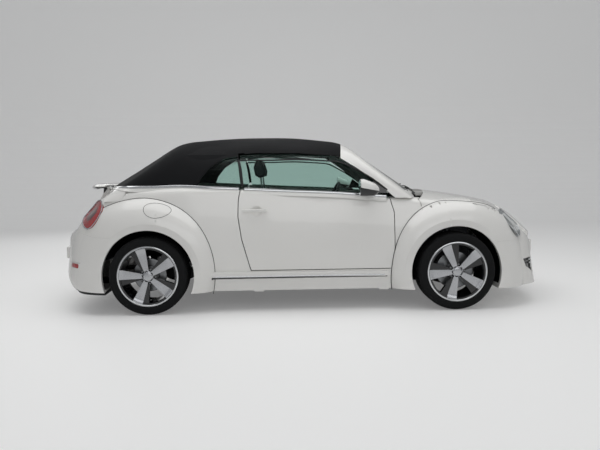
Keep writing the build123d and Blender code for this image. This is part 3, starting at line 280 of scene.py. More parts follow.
def circle_through(p, q, r):
    """Centre and radius of the circle through three points, from the crossing of two chords' bisectors."""
    (ax, ay), (bx, by), (cx, cy) = p, q, r
    d = 2 * (ax * (by - cy) + bx * (cy - ay) + cx * (ay - by))
    a2, b2, c2 = ax ** 2 + ay ** 2, bx ** 2 + by ** 2, cx ** 2 + cy ** 2
    u = (a2 * (by - cy) + b2 * (cy - ay) + c2 * (ay - by)) / d
    v = (a2 * (cx - bx) + b2 * (ax - cx) + c2 * (bx - ax)) / d
    return u, v, np.hypot(ax - u, ay - v)


def blur(values, sigma, step):
    """Gaussian smoothing down the first axis, with the ends held."""
    reach = int(3 * sigma / step) + 1
    weights = np.exp(-0.5 * (np.arange(-reach, reach + 1) * step / sigma) ** 2)
    padded = np.pad(values, [(reach, reach)] + [(0, 0)] * (values.ndim - 1), mode="edge")
    shifts = [padded[i:i + len(values)] * w for i, w in enumerate(weights)]
    return sum(shifts) / weights.sum()


print("1 and 1 rounded over 0.1:", round(float(smooth_max(1.0, 1.0, 0.1)), 4))

# %% Sections of the hull from tail to nose
NOSE, TAIL, HALF, BELT, FLOOR = 2.139, -2.139, 0.904, 1.0, 0.175
FRONT_AXLE, REAR_AXLE, WHEEL_Z, ARCH = 1.2585, -1.2785, 0.322, 0.377
SECTIONS = np.array([
    # x, top, shoulder, shoulder inset, waist height, waist inset, sill inset
    (-2.150, -0.360, -0.440, 0.284, 0.420, 0.224, 0.264),
    (-1.990, -0.290, -0.390, 0.254, 0.430, 0.164, 0.184),
    (-1.850, -0.105, -0.230, 0.244, 0.480, 0.129, 0.154),
    (-1.680, 0.025, -0.065, 0.199, 0.520, 0.109, 0.134),
    (-1.3505, 0.085, 0.028, 0.160, 0.560, 0.101, 0.116),
    (-0.500, 0.070, 0.008, 0.159, 0.560, 0.098, 0.114),
    (0.740, 0.000, -0.072, 0.166, 0.560, 0.098, 0.114),
    (1.0005, -0.010, -0.090, 0.168, 0.560, 0.101, 0.114),
    (1.2905, -0.044, -0.120, 0.124, 0.540, 0.104, 0.119),
    (1.6005, -0.096, -0.187, 0.160, 0.500, 0.109, 0.129),
    (1.759, -0.138, -0.265, 0.300, 0.450, 0.144, 0.154),
    (1.850, -0.172, -0.345, 0.340, 0.440, 0.164, 0.164),
    (2.060, -0.335, -0.470, 0.420, 0.400, 0.224, 0.224),
    (2.150, -0.420, -0.520, 0.460, 0.380, 0.264, 0.264),
])


def cubic_through(x, rows, at):
    """Monotone cubic pieces through the rows: each slope is the weighted harmonic mean of its two
    neighbours'."""
    h = np.diff(x)[:, None]
    d = np.diff(rows, axis=0) / h
    w1, w2 = 2 * h[1:] + h[:-1], h[1:] + 2 * h[:-1]
    with np.errstate(divide="ignore", invalid="ignore"):
        middle = np.where(d[:-1] * d[1:] > 0, (w1 + w2) / (w1 / d[:-1] + w2 / d[1:]), 0)
    m = np.vstack([d[:1], middle, d[-1:]])
    i = np.clip(np.searchsorted(x, at) - 1, 0, len(x) - 2)
    t = ((at - x[i]) / h[i, 0])[:, None]
    start, end = rows[i], rows[i + 1]
    return ((2 * t ** 3 - 3 * t ** 2 + 1) * start + (t ** 3 - 2 * t ** 2 + t) * h[i] * m[i]
            + (3 * t ** 2 - 2 * t ** 3) * end + (t ** 3 - t ** 2) * h[i] * m[i + 1])


STATION_STEP = 0.005
stations = np.arange(-2.25, 2.25, STATION_STEP)
profile = blur(cubic_through(SECTIONS[:, 0], SECTIONS[:, 1:], np.clip(stations, -2.15, 2.15)), 0.03,
               STATION_STEP)
print("stations:", profile.shape)

# %% Plan of the nose and tail
PLAN_CENTRE = 1.30
plan_angles = np.radians(np.arange(0, 100.01, 0.25))


def plan_radius(corners):
    """Distance of the plan outline from a point inside the nose, by angle: end arc, corner arc, then a
    straight run."""
    (a, ya), (b, yb), (c, yc) = corners
    u, v, r = circle_through((NOSE - a, -ya), (NOSE, 0.0), (NOSE - a, ya))
    end = np.linspace(0, np.arctan2(ya, NOSE - a - u), 60)
    points = [np.stack([u + r * np.cos(end), r * np.sin(end)], 1)]
    u, v, r = circle_through((NOSE - a, ya), (NOSE - b, yb), (NOSE - c, yc))
    corner = np.linspace(np.arctan2(ya - v, NOSE - a - u), np.arctan2(yc - v, NOSE - c - u), 60)
    points.append(np.stack([u + r * np.cos(corner), v + r * np.sin(corner)], 1))
    run = np.linspace(0, 1, 60)[:, None]
    points.append((1 - run) * [NOSE - c, yc] + run * [NOSE - c - 0.25, HALF])
    points.append((1 - run) * [NOSE - c - 0.25, HALF] + run * [PLAN_CENTRE - 0.5, HALF])
    outline = np.concatenate(points) - [PLAN_CENTRE, 0]
    angle = np.arctan2(outline[:, 1], outline[:, 0])
    radius = np.interp(plan_angles, angle, np.hypot(*outline.T))
    both = np.concatenate([radius[:0:-1], radius])
    return blur(both, np.radians(4.0), np.radians(0.25))[len(radius) - 1:]


plan_low = plan_radius([(0.066, 0.500), (0.190, 0.722), (0.500, 0.886)])
plan_high = plan_radius([(0.240, 0.480), (0.345, 0.645), (0.600, 0.862)])
PLAN_LOW_Z, PLAN_HIGH_Z = 0.165, 1.120
print("plan radius ahead:", round(plan_low[0], 3), round(plan_high[0], 3))

# %% The form of hull, wings and tail
UNDER_TAIL = [(-0.578, -0.815, 0.014, 0.330),
              (-0.438, -0.899, 0.186, 0.208)]      # direction (x, z), inset, height
FLARES = [(1.2855, 0.330, 0.567), (-1.3185, 0.352, 0.584)]      # x, z, outer radius of each wing
FLARE_ROOT = HALF - 0.108
RIM_SLACK, FAR_OUT = 0.004, 9.0                                 # past its rim a wing counts as far away


def hull_form(p):
    """The hull without wings: the rounded larger of the distances past its top arc and its side arc."""
    x, y, z = p[..., 0], np.abs(p[..., 1]), p[..., 2]
    f = np.clip((x - stations[0]) / STATION_STEP, 0, len(stations) - 2)
    i = f.astype(int)
    w = (f - i)[..., None]
    row = (1 - w) * profile[i] + w * profile[i + 1]
    top, shoulder = BELT + row[..., 0], BELT + row[..., 1]
    waist = row[..., 3]
    y_shoulder, y_waist, y_sill = (HALF - row[..., i] for i in (2, 4, 5))
    rise = top - shoulder
    radius = (y_shoulder ** 2 + rise ** 2) / (2 * rise)
    over = np.hypot(y, z - top + radius) - radius
    u, v, r = circle_through((y_shoulder, shoulder), (y_waist, waist), (y_sill, np.full_like(z, FLOOR)))
    beside = np.hypot(y - u, z - v) - r
    ends = np.clip((np.abs(x - 0.1) - 0.75) / 0.6, 0, 1)
    return smooth_max(over, beside, 0.03 + 0.05 * ends)


def flare_form(p, k):
    """A wing: a shallow dome of revolution about the wheel's axis, flat round the arch and falling to its
    rim."""
    fx, fz, rim = FLARES[k]
    rho, y = np.hypot(p[..., 0] - fx, p[..., 2] - fz), np.abs(p[..., 1])
    u, v, r = circle_through((ARCH, HALF), ((ARCH + rim) / 2, (HALF + FLARE_ROOT) / 2 + 0.024),
                             (rim, FLARE_ROOT))
    dome = np.hypot(rho - u, y - v) - r
    return smooth_max(dome, y - HALF, 0.012)


def ends_form(p):
    """What trims nose and tail: the plan outline, and the two slopes under the tail."""
    x, y, z = p[..., 0], np.abs(p[..., 1]), p[..., 2]
    dx = np.abs(x) - PLAN_CENTRE
    angle = np.degrees(np.arctan2(y, dx)) / 0.25
    i = np.clip(angle.astype(int), 0, len(plan_angles) - 2)
    w = np.clip(angle - i, 0, 1)
    t = np.clip((z - PLAN_LOW_Z) / (PLAN_HIGH_Z - PLAN_LOW_Z), 0, 1)
    low = (1 - w) * plan_low[i] + w * plan_low[i + 1]
    high = (1 - w) * plan_high[i] + w * plan_high[i + 1]
    trim = np.where(dx > -0.1, np.hypot(dx, y) - ((1 - t) * low + t * high), y - HALF - 0.01)
    slopes = [nx * (x - TAIL - inset) + nz * (z - height) for nx, nz, inset, height in UNDER_TAIL]
    under = smooth_max(*slopes, 0.04)
    return smooth_max(trim, under, 0.05)


def body_form(p, part):
    """The body's form with one of its parts: 0 is the hull, 1 the front wing and 2 the rear wing."""
    core = hull_form(p) if part == 0 else flare_form(p, part - 1)
    return smooth_max(core, ends_form(p), 0.07)


def part_of_body(p):
    """Which part a point of the skin lies on: the one whose surface stands furthest out there."""
    forms = np.stack([body_form(p, 0), body_form(p, 1), body_form(p, 2)])
    rims = np.stack([np.zeros(len(p))] + [np.hypot(p[:, 0] - x, p[:, 2] - z) - r for x, z, r in FLARES])
    forms = np.where(rims > RIM_SLACK, FAR_OUT, forms)
    return forms.argmin(0)


probe = np.array([[0.0, -0.806, 0.56], [1.28, -0.9, 0.75], [2.139, 0.0, 0.4], [0.0, 0.0, 1.06]])
nearest = np.array([body_form(probe, k) for k in range(3)]).min(0)
print("form at four points of the skin (mm):", np.round(1000 * nearest, 1))

# %% [markdown]
# ## The hood and windows as a second function
# The hood's cloth is pulled tight over hoops, so its form is also a few large curves met by rounded
# corners: the roof line seen from the side, the roof's arch seen from the front, the leaning sides, the
# screen and the sloping back.

# %% The form of the hood
EAVE, SIDE_MID, SIDE_FOOT = (0.600, 1.318), (0.692, 1.160), (0.752, 0.930)                # (y, z)
CROWN, PEAK = (0.330, 1.439), (0.0, 1.473)
BACK_TOP, ROOF_PEAK_X, PEAK_Z = (-1.137, 1.402), -0.359, PEAK[1]
SCREEN, SCREEN_LEAN = (0.872, 1.095, 0.096, 0.254), 1.75
BACK, BACK_LEAN = (1.639, 1.897, 0.625, 0.976), 1.95
# the two heights and the half width of the bowed walls
WALL_LOW, WALL_HIGH, WALL_HALF = 0.930, 1.500, 0.8
side_circle = circle_through(SIDE_FOOT, SIDE_MID, EAVE)
arch_circle = circle_through(PEAK, CROWN, EAVE)
rear_circle = circle_through(BACK_TOP, (-0.759, 1.454), (ROOF_PEAK_X, PEAK_Z))
front_circle = circle_through((ROOF_PEAK_X, PEAK_Z), (0.020, 1.456), (0.374, 1.393))
BACK_SLOPE = np.array([-0.528,
                       0.849])                           # outward direction of the hood's back, (x, z)


def bowed(x, y, z, side_low, middle_low, side_high, middle_high):
    """Distance past an upright bowed wall whose plan is an arc that moves straight with height between two
    heights."""
    t = (z - WALL_LOW) / (WALL_HIGH - WALL_LOW)
    side, middle = side_low + t * (side_high - side_low), middle_low + t * (middle_high - middle_low)
    sag = middle - side
    radius = (WALL_HALF ** 2 + sag ** 2) / (2 * sag)
    return np.hypot(np.maximum(x - middle + radius, 0), y) - radius


def hood_form(p, part=0):
    """The hood's form: the rounded larger of side, arched roof, roof line, back slope, screen and bowed back.
    It has one part only, and takes part so that both forms are called alike."""
    x, y, z = p[..., 0], np.abs(p[..., 1]), p[..., 2]
    side = np.hypot(y - side_circle[0], z - side_circle[1]) - side_circle[2]
    arch = np.hypot(np.hypot(y, 0.08) - arch_circle[0], z - arch_circle[1]) - arch_circle[2]
    u, v, r = [np.where(x < ROOF_PEAK_X, a, b) for a, b in zip(rear_circle, front_circle)]
    line = np.hypot(x - u, z - v) - r
    slope = (x - BACK_TOP[0]) * BACK_SLOPE[0] + (z - BACK_TOP[1]) * BACK_SLOPE[1]
    screen = bowed(x, y, z, *SCREEN) / SCREEN_LEAN
    back = bowed(-x, y, z, *BACK) / BACK_LEAN
    roof = smooth_max(smooth_max(arch, line, 0.012), slope, 0.03)
    top = smooth_max(roof, side, 0.07)
    return smooth_max(smooth_max(top, screen, 0.05), back, 0.06)

probe = np.array([[ROOF_PEAK_X, 0.0, PEAK_Z], [-0.3, 0.692, 1.160], [-1.4, 0.0, 1.24]])
print("hood at three points (mm):", np.round(1000 * hood_form(probe), 1))

# %% [markdown]
# ## Laying a panel on its function
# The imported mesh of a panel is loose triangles. Its copy is merged, the long edges of its skin are halved
# until none is longer than a couple of centimetres, and then the skin's points settle on the function.
# Faces of the wall and the back stay as they were. Where a wing meets the hull there is a real crease, so
# points there settle on both forms.
#
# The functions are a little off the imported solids, by some millimetres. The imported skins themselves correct
# this: the misfit at each of their faces is averaged over about seven centimetres and taken off the
# function, so it keeps the solids' size and gives up only their facets.

# %% Panel builder
WALL_MARK, SKIN_MARK, BACK_MARK = 0, 1, 2          # what a face of a packed panel is
MERGE = 2e-5                                       # points closer than this are one
FACING = 0.55                                      # cosine beyond which a face looks the way the form does


def coordinates(mesh):
    """The mesh's points as an array."""
    points = np.empty(3 * len(mesh.vertices))
    mesh.vertices.foreach_get("co", points)
    return points.reshape(-1, 3)


def arrays_of(bm):
    """A triangle mesh as arrays of points, corners and the mark on each face."""
    mesh = bpy.data.meshes.new("scratch")
    bm.to_mesh(mesh)
    points = coordinates(mesh)
    corners = np.empty(len(mesh.loops), int)
    mesh.loops.foreach_get("vertex_index", corners)
    marks = np.empty(len(mesh.polygons), int)
    mesh.polygons.foreach_get("material_index", marks)
    bpy.data.meshes.remove(mesh)
    return points, corners.reshape(-1, 3), marks


def face_normals(points, corners):
    """Unit normals: the cross product of two sides of each triangle."""
    a, b, c = (points[corners[:, i]] for i in range(3))
    n = np.cross(b - a, c - a)
    return n / np.maximum(np.linalg.norm(n, axis=1), 1e-12)[:, None]


def placed_object(name, mesh):
    """A new object of the scene with that mesh."""
    obj = bpy.data.objects.new(name, mesh)
    bpy.context.scene.collection.objects.link(obj)
    return obj


def put_mesh(name, points, corners, material, normals):
    """A new object from arrays, with given normals at each corner of each face."""
    mesh = bpy.data.meshes.new(name)
    mesh.from_pydata(points.tolist(), [], np.asarray(corners).tolist())
    mesh.materials.append(material)
    mesh.polygons.foreach_set("use_smooth", np.full(len(mesh.polygons), True))
    mesh.normals_split_custom_set(normals.reshape(-1, 3).tolist())
    mesh.update()
    return placed_object(name, mesh)


def on_skin_face(face):
    """Whether a face is marked as skin."""
    return face.material_index == SKIN_MARK


def split_skin(bm, longest):
    """Halves the skin's edges from the longest down, and turns edges after each pass to keep the triangles
    full."""
    for times in (45, 32, 22, 16, 11, 8, 5.6, 4, 2.8, 2, 1.4, 1, 1):
        long_edges = [e for e in bm.edges if e.calc_length() > times * longest
                      and any(map(on_skin_face, e.link_faces))]
        if not long_edges:
            continue
        bmesh.ops.subdivide_edges(bm, edges=long_edges, cuts=1)
        bmesh.ops.triangulate(bm, faces=[f for f in bm.faces if len(f.verts) > 3])
        inner = [e for e in bm.edges if len(e.link_faces) == 2 and all(map(on_skin_face, e.link_faces))]
        bmesh.ops.beautify_fill(bm, faces=[f for f in bm.faces if on_skin_face(f)], edges=inner,
                                method="AREA")


print("marks of wall, skin and back:", WALL_MARK, SKIN_MARK, BACK_MARK)

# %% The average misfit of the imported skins
CELL, SPREAD = 0.05, 0.07
GRID_LOW, GRID_SIZE = np.array([-2.5, -1.25, -0.25]), (101, 51, 40)


def spread_out(points, amounts):
    """Amounts summed on a grid over the car, mirrored left to right, and blurred along each axis in turn."""
    grid = np.zeros(GRID_SIZE)
    for side in (1, -1):
        index = np.rint((points * [1, side, 1] - GRID_LOW) / CELL).astype(int)
        np.add.at(grid, tuple(index.T), amounts)
    for axis in range(3):
        grid = np.moveaxis(blur(np.moveaxis(grid, axis, 0), SPREAD, CELL), 0, axis)
    return grid


def looked_up(grid, p):
    """The grid's value at each point by quadratic B-splines: weights (1/2 - d)^2 / 2, 3/4 - d^2 and (1/2 +
    d)^2 / 2."""
    u = (p - GRID_LOW) / CELL
    i = np.clip(np.rint(u).astype(int), 1, np.array(GRID_SIZE) - 2)
    d = u - i
    weights = np.stack([0.5 * (0.5 - d) ** 2, 0.75 - d ** 2, 0.5 * (0.5 + d) ** 2])
    total = np.zeros(len(p))
    for a in range(27):
        n = (a // 9, a // 3 % 3, a % 3)
        weight = weights[n[0], :, 0] * weights[n[1], :, 1] * weights[n[2], :, 2]
        total += weight * grid[i[:, 0] + n[0] - 1, i[:, 1] + n[1] - 1, i[:, 2] + n[2] - 1]
    return total


def slope_of(form, p, part, grid=None, step=0.003):
    """The gradient at each point of the form less its misfit, by differences to both sides."""
    g = np.empty_like(p)
    for axis in range(3):
        shift = np.zeros(3)
        shift[axis] = step
        g[:, axis] = (form(p + shift, part) - form(p - shift, part)) / (2 * step)
        if grid is not None:
            g[:, axis] -= (looked_up(grid, p + shift) - looked_up(grid, p - shift)) / (2 * step)
    return g


def settle(form, p, part, grid, level, steps=4):
    """Points moved along the gradient until the form less its misfit has that level there."""
    for _ in range(steps):
        g = slope_of(form, p, part)
        error = form(p, part) - looked_up(grid, p) - level
        p = p - (error / np.maximum((g ** 2).sum(1), 0.05))[:, None] * g
    return p


def marked(node, form, which, longest, level, window):
    """A panel's merged mesh with its outer skin found and cut finer; each face has a mark and a part."""
    bm = bmesh.new()
    bm.from_mesh(frame["nodes"][node].data)
    bmesh.ops.remove_doubles(bm, verts=bm.verts, dist=MERGE)
    bmesh.ops.triangulate(bm, faces=[f for f in bm.faces if len(f.verts) > 3])
    points, corners, _ = arrays_of(bm)
    middle = points[corners].mean(1)
    normal = face_normals(points, corners)
    part = which(middle)
    marks = np.zeros(len(corners), int)
    for k in np.unique(part):
        on = part == k
        g = slope_of(form, middle[on], k)
        facing = (g * normal[on]).sum(1) / np.linalg.norm(g, axis=1)
        height = form(middle[on], k) - level
        is_skin = (facing > FACING) & (height > window[0]) & (height < window[1])
        marks[on] = np.where(is_skin, SKIN_MARK, np.where(facing < -FACING, BACK_MARK, WALL_MARK))
    for face, mark in zip(bm.faces, marks):
        face.material_index = int(mark)
    split_skin(bm, longest)
    points, corners, marks = arrays_of(bm)
    bm.free()
    return {"points": points, "corners": corners, "marks": marks, "part": which(points[corners].mean(1)),
            "level": level}


def misfit(form, pieces):
    """One grid for each part of the form: the area-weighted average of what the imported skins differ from
    it."""
    grids = {}
    for k in np.unique(np.concatenate([piece["part"] for piece in pieces])):
        where, error, area = [], [], []
        for piece in pieces:
            on = (piece["marks"] == SKIN_MARK) & (piece["part"] == k)
            corner = piece["points"][piece["corners"][on]]
            where.append(corner.mean(1))
            error.append(form(where[-1], k) - piece["level"])
            sides = np.cross(corner[:, 1] - corner[:, 0], corner[:, 2] - corner[:, 0])
            area.append(np.linalg.norm(sides, axis=1))
        where, error, area = np.concatenate(where), np.concatenate(error), np.concatenate(area)
        grids[k] = spread_out(where, area * error) / (spread_out(where, area) + 1e-6)
    return grids


def laid(node, piece, form, grids, material, back_level=None):
    """The finished panel: its skin settled at the piece's level, its back at back_level, shaded by the
    gradient."""
    points, corners, marks, part = piece["points"], piece["corners"], piece["marks"], piece["part"]
    levels = [(SKIN_MARK, piece["level"], 1.0)]
    if back_level is not None:
        levels.append((BACK_MARK, back_level, -1.0))
    for mark, level, _ in levels:
        kinds = np.unique(part[marks == mark])
        for sweep in range(6 if len(kinds) > 1 else 1):
            for k in kinds:
                on = np.unique(corners[(marks == mark) & (part == k)])
                points[on] = settle(form, points[on], k, grids[k], level, steps=4 if sweep == 0 else 1)
    normals = np.repeat(face_normals(points, corners)[:, None, :], 3, axis=1)
    for mark, _, sign in levels:
        for k in np.unique(part[marks == mark]):
            on = np.nonzero((marks == mark) & (part == k))[0]
            g = sign * slope_of(form, points[corners[on]].reshape(-1, 3), k, grids[k])
            normals[on] = (g / np.linalg.norm(g, axis=1)[:, None]).reshape(-1, 3, 3)
    obj = put_mesh(node + ".skin", points, corners, material, normals)
    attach(obj, frame["nodes"][node]["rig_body"])
    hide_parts(node)
    return obj


def only_hull(p):
    """Every point belongs to the form's first part."""
    return np.zeros(len(p), int)


print("misfit grid:", GRID_SIZE, "cells of", CELL, "m")

# %% Dress the painted panels
started = time.perf_counter()
skins = {}
PAINTED = ["bonnet", "front_bumper", "rear_bumper", "boot_lid", "tonneau_panel"]
PAINTED += [n + s for n in ("door", "front_wing", "rear_quarter", "sill") for s in ("_left", "_right")]
FINE, PANE_FINE = 0.022, 0.04
HULL_ONLY = ("bonnet", "boot_lid", "tonneau_panel")
# how far under and over the form a panel's skin may lie
WINDOWS = {"door": (-0.018, 0.015), "bonnet": (-0.055, 0.060), "wing": (-0.030, 0.050),
           "quarter": (-0.030, 0.050)}
OTHER_WINDOW, HOOD_WINDOW = (-0.022, 0.050), (-0.02, 0.03)
pieces = {}
for node in PAINTED:
    window = ([w for key, w in WINDOWS.items() if key in node] + [OTHER_WINDOW])[0]
    pieces[node] = marked(node, body_form, only_hull if node in HULL_ONLY else part_of_body, FINE, 0.0,
                          window)
body_misfit = misfit(body_form, list(pieces.values()))
print("cut finer, seconds:", round(time.perf_counter() - started, 1))
for node, piece in pieces.items():
    material = bumper_paint if node == "rear_bumper" else white_paint
    skins[node] = laid(node, piece, body_form, body_misfit, material)
print("panels:", len(skins), "triangles:", sum(len(o.data.polygons) for o in skins.values()),
      "seconds:", round(time.perf_counter() - started, 1))

# %% Dress the hood, screen frame and glass
COVER = [
    # node, material, slot, level of its skin and of its back, longest edge
    ("soft_top", hood_cloth, "black_cloth", 0.0, None, FINE),
    ("windscreen_frame", white_paint, "white_paint", 0.0, None, FINE),
    ("windscreen", screen_glass, "tinted_glass", -0.008, -0.014, PANE_FINE),
    ("rear_window", tinted_glass, "tinted_glass", -0.004, -0.009, PANE_FINE),
]
COVER += [(n + s, tinted_glass, "tinted_glass", -0.008, -0.013, PANE_FINE)
          for n in ("door_glass", "quarter_glass") for s in ("_left", "_right")]
pieces = {row[0]: marked(row[0], hood_form, only_hull, row[5], row[3], HOOD_WINDOW) for row in COVER}
hood_misfit = misfit(hood_form, list(pieces.values()))
for node, material, slot, _, back_level, _ in COVER:
    skins[node] = laid(node, pieces[node], hood_form, hood_misfit, material, back_level)
print("hood and glass, seconds:", round(time.perf_counter() - started, 1))

# %% [markdown]
# ## Swept and turned pieces
# Most trim on a car is a section carried along a line, such as a strip, a seal or a pipe, or a section
# turned about an axis, such as a rim, a lens or a tyre. Two builders make all of them as grids of points.

# %% Builders of trim
def grid_faces(rows, columns, closed_rows=False, closed_columns=True):
    """Quads of a grid of points, row by row; a closed direction joins its end to its start."""
    r = np.arange(rows if closed_rows else rows - 1)
    c = np.arange(columns if closed_columns else columns - 1)
    a, b = np.meshgrid(r, c, indexing="ij")
    a2, b2 = (a + 1) % rows, (b + 1) % columns
    quads = np.stack([a * columns + b, a * columns + b2, a2 * columns + b2, a2 * columns + b], -1)
    return quads.reshape(-1, 4)


def tube(points):
    """Sections points[row, column] as one closed solid: its points in a row, and its faces with the two
    ends."""
    rows, columns = points.shape[:2]
    ends = [list(range(columns))[::-1], [(rows - 1) * columns + i for i in range(columns)]]
    return points.reshape(-1, 3), grid_faces(rows, columns).tolist() + ends


def new_piece(name, points, faces, material, body, slot, smooth=True, angle=40):
    """A piece of the dressed model that rides on a body; edges sharper than the angle stay sharp."""
    name = name.replace(" ", "_")
    mesh = bpy.data.meshes.new(name)
    mesh.from_pydata(np.asarray(points).tolist(), [], [list(map(int, f)) for f in faces])
    mesh.materials.append(material)
    bm = bmesh.new()
    bm.from_mesh(mesh)
    bmesh.ops.recalc_face_normals(bm, faces=bm.faces)
    for face in bm.faces:
        face.smooth = smooth
    if smooth:
        for edge in bm.edges:
            if len(edge.link_faces) == 2 and edge.calc_face_angle(0) > np.radians(angle):
                edge.smooth = False
    bm.to_mesh(mesh)
    bm.free()
    obj = placed_object(name, mesh)
    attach(obj, body)
    return obj


def joined(parts):
    """Several (points, faces) as one."""
    points, faces, start = [], [], 0
    for p, f in parts:
        points.append(np.asarray(p, float))
        faces += [[i + start for i in face] for face in f]
        start += len(p)
    return np.concatenate(points), faces


def swept(path, section, outward, closed=False):
    """A section (sideways, outward) carried along a path: sideways is the cross product of path and
    outward."""
    path = np.asarray(path, float)
    if closed:
        along = np.roll(path, -1, 0) - np.roll(path, 1, 0)
    else:
        along = np.gradient(path, axis=0)
    along /= np.linalg.norm(along, axis=1)[:, None]
    outward = np.broadcast_to(np.asarray(outward, float), path.shape)
    outward = outward - (outward * along).sum(1)[:, None] * along
    outward /= np.linalg.norm(outward, axis=1)[:, None]
    sideways = np.cross(along, outward)
    section = np.asarray(section, float)
    across, over = section[None, :, :1], section[None, :, 1:]
    points = path[:, None] + across * sideways[:, None] + over * outward[:, None]
    if closed:
        return points.reshape(-1, 3), grid_faces(len(path), len(section), closed_rows=True).tolist()
    return tube(points)


def turned(profile, centre, axis, steps):
    """A profile of (radius, height) turned about an axis: centre + height * axis + radius * (cos u + sin
    v)."""
    axis = np.asarray(axis, float) / np.linalg.norm(axis)
    up = np.array([0.0, 0.0, 1.0])
    u = up - np.dot(up, axis) * axis
    u /= np.linalg.norm(u)
    v = np.cross(axis, u)
    profile = np.asarray(profile, float)
    angle = np.linspace(0, 2 * np.pi, steps, endpoint=False)
    ring = np.cos(angle)[:, None] * u + np.sin(angle)[:, None] * v
    points = np.asarray(centre) + profile[None, :, :1] * ring[:, None] + profile[None, :, 1:] * axis
    return points.reshape(-1, 3), grid_faces(steps, len(profile), True, False).tolist()


def squared_circle(count, power):
    """Both coordinates, at even angles, of the superellipse |u|^power + |v|^power = 1."""
    a = np.linspace(0, 2 * np.pi, count, endpoint=False)
    c, s = np.cos(a), np.sin(a)
    fold = (np.abs(c) ** power + np.abs(s) ** power) ** (-1 / power)
    return c * fold, s * fold


def round_section(width, height, count=12):
    """A rounded section of that width, standing from 0 to its height."""
    c, s = squared_circle(count, 3)
    return np.column_stack([width / 2 * c, height / 2 * (1 + s)])


def on_form(form, part, grid, points, level):
    """Points moved onto a form less its misfit, or a set height over it, and the outward directions there."""
    p = settle(form, np.asarray(points, float), part, grid, level)
    g = slope_of(form, p, part, grid)
    return p, g / np.linalg.norm(g, axis=1)[:, None]


def on_body(points, part=0, level=0.0):
    """The same for one part of the body."""
    return on_form(body_form, part, body_misfit[part], points, level)


def on_hood(points, level=0.0):
    """The same for the form of the hood and windows."""
    return on_form(hood_form, 0, hood_misfit[0], points, level)


def between(points, rounds, hood_level, body_level):
    """Points brought to where two levels of hood and body cross, by settling on each in turn."""
    for _ in range(rounds):
        points = settle(hood_form, points, 0, hood_misfit[0], hood_level, 1)
        points = settle(body_form, points, 0, body_misfit[0], body_level, 1)
    return points


def curve_through(points, count):
    """Evenly spaced points on a smooth curve: each coordinate is a monotone cubic of the run so far."""
    points = np.asarray(points, float)
    run = np.concatenate([[0], np.cumsum(np.linalg.norm(np.diff(points, axis=0), axis=1))])
    return cubic_through(run, points, np.linspace(0, run[-1], count))


def mirror_y(points):
    """The same points on the other side of the car."""
    return np.asarray(points) * [1, -1, 1]


def sided(side, *arrays):
    """The arrays as they are on the left, mirrored on the right."""
    return [a if side > 0 else mirror_y(a) for a in arrays]


SIDES = {"left": 1, "right": -1}
CAR = "car_body"


def trim(name, path, section, out, material, side=1, body=CAR, slot="black_plastic", closed=False):
    """A piece swept along a line that is given for the left side."""
    path, out = sided(side, path, out)
    return new_piece(name, *swept(path, section, out, closed), material, body, slot)


def shaded_patch(name, points, directions, quads, side, body):
    """A patch of white paint just over the skin, shaded by the directions given at its points."""
    corners = np.concatenate([quads[:, [0, 1, 2]], quads[:, [0, 2, 3]]])
    points, directions = sided(side, points, directions)
    if (face_normals(points, corners) * directions[corners].mean(1)).sum(1).mean() < 0:
        corners = corners[:, ::-1]
    patch = put_mesh(name, points, corners, white_paint, directions[corners])
    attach(patch, body)


print("points of a rounded section:", len(round_section(0.020, 0.005)))

# %% [markdown]
# ## Lines along the wings, the belt and the flap
# The wings stand out from the hull along a circle about each wheel, and a dark joint follows it. A bright
# strip runs along the foot of the hood and the windows, round the back of the hood, and is cut where the
# doors open. The fuel flap is an oval outline in the rear wing of one side.

# %% Joints round the wings
JOINT, FILLET = round_section(0.0050, 0.0024, 8), round_section(0.036, 0.003, 12)
# how far the joint lies inside the wing's rim, and how far the fillet raises it
JOINT_INSET, JOINT_LIFT = 0.002, 0.0028
ANGLES = {"front": (50, 197), "rear": (-20, 128)}
FILLETED = slice(4, 84)                              # from the lamp over the top of the wing


def wing_joint(k, low, high, count=120):
    """The crease between hull and wing: points of a circle settled on both forms in turn."""
    x, z, rim = FLARES[k]
    a = np.radians(np.linspace(low, high, count))
    r = rim - JOINT_INSET
    p = np.column_stack([x + r * np.cos(a), np.full(count, FLARE_ROOT), z + r * np.sin(a)])
    for _ in range(10):
        p = settle(body_form, p, 0, body_misfit[0], 0.0, 1)
        p = settle(body_form, p, k + 1, body_misfit[k + 1], 0.0, 1)
    return p


for name, side in SIDES.items():
    for k, end in enumerate(("front", "rear")):
        path = wing_joint(k, *ANGLES[end])
        direction = slope_of(body_form, path, 0) + slope_of(body_form, path, k + 1)
        direction = direction / np.linalg.norm(direction, axis=1)[:, None]
        if end == "front":
            trim("wing fillet %s" % name, path[FILLETED], FILLET, direction[FILLETED], white_paint, side,
                 slot="white_paint")
            path = path + JOINT_LIFT * direction
        trim("wing joint %s %s" % (end, name), path, JOINT, direction, seal_rubber, side)
print("wing joints from", np.round(path[0], 3), "to", np.round(path[-1], 3))

# %% Bright strip along the belt
DOOR_REAR, DOOR_FRONT = -0.512, 0.703
BELT_TOP = np.array([(-1.70, 1.050), (-1.514, 1.055), (-0.854, 1.046), (-0.508, 1.030), (-0.160, 1.011),
                     (0.309, 0.987), (0.462, 0.973), (0.615, 0.960), (0.720, 0.952)])
BELT_AHEAD, BELT_CORNER, BELT_Y, BELT_BEHIND = 0.720, -1.35, 0.740, 0.30
STRIP_WIDTH, FOOT_WIDTH = 0.021, 0.036
STRIP, FOOT = round_section(STRIP_WIDTH, 0.007, 12), round_section(FOOT_WIDTH, 0.0045, 12)


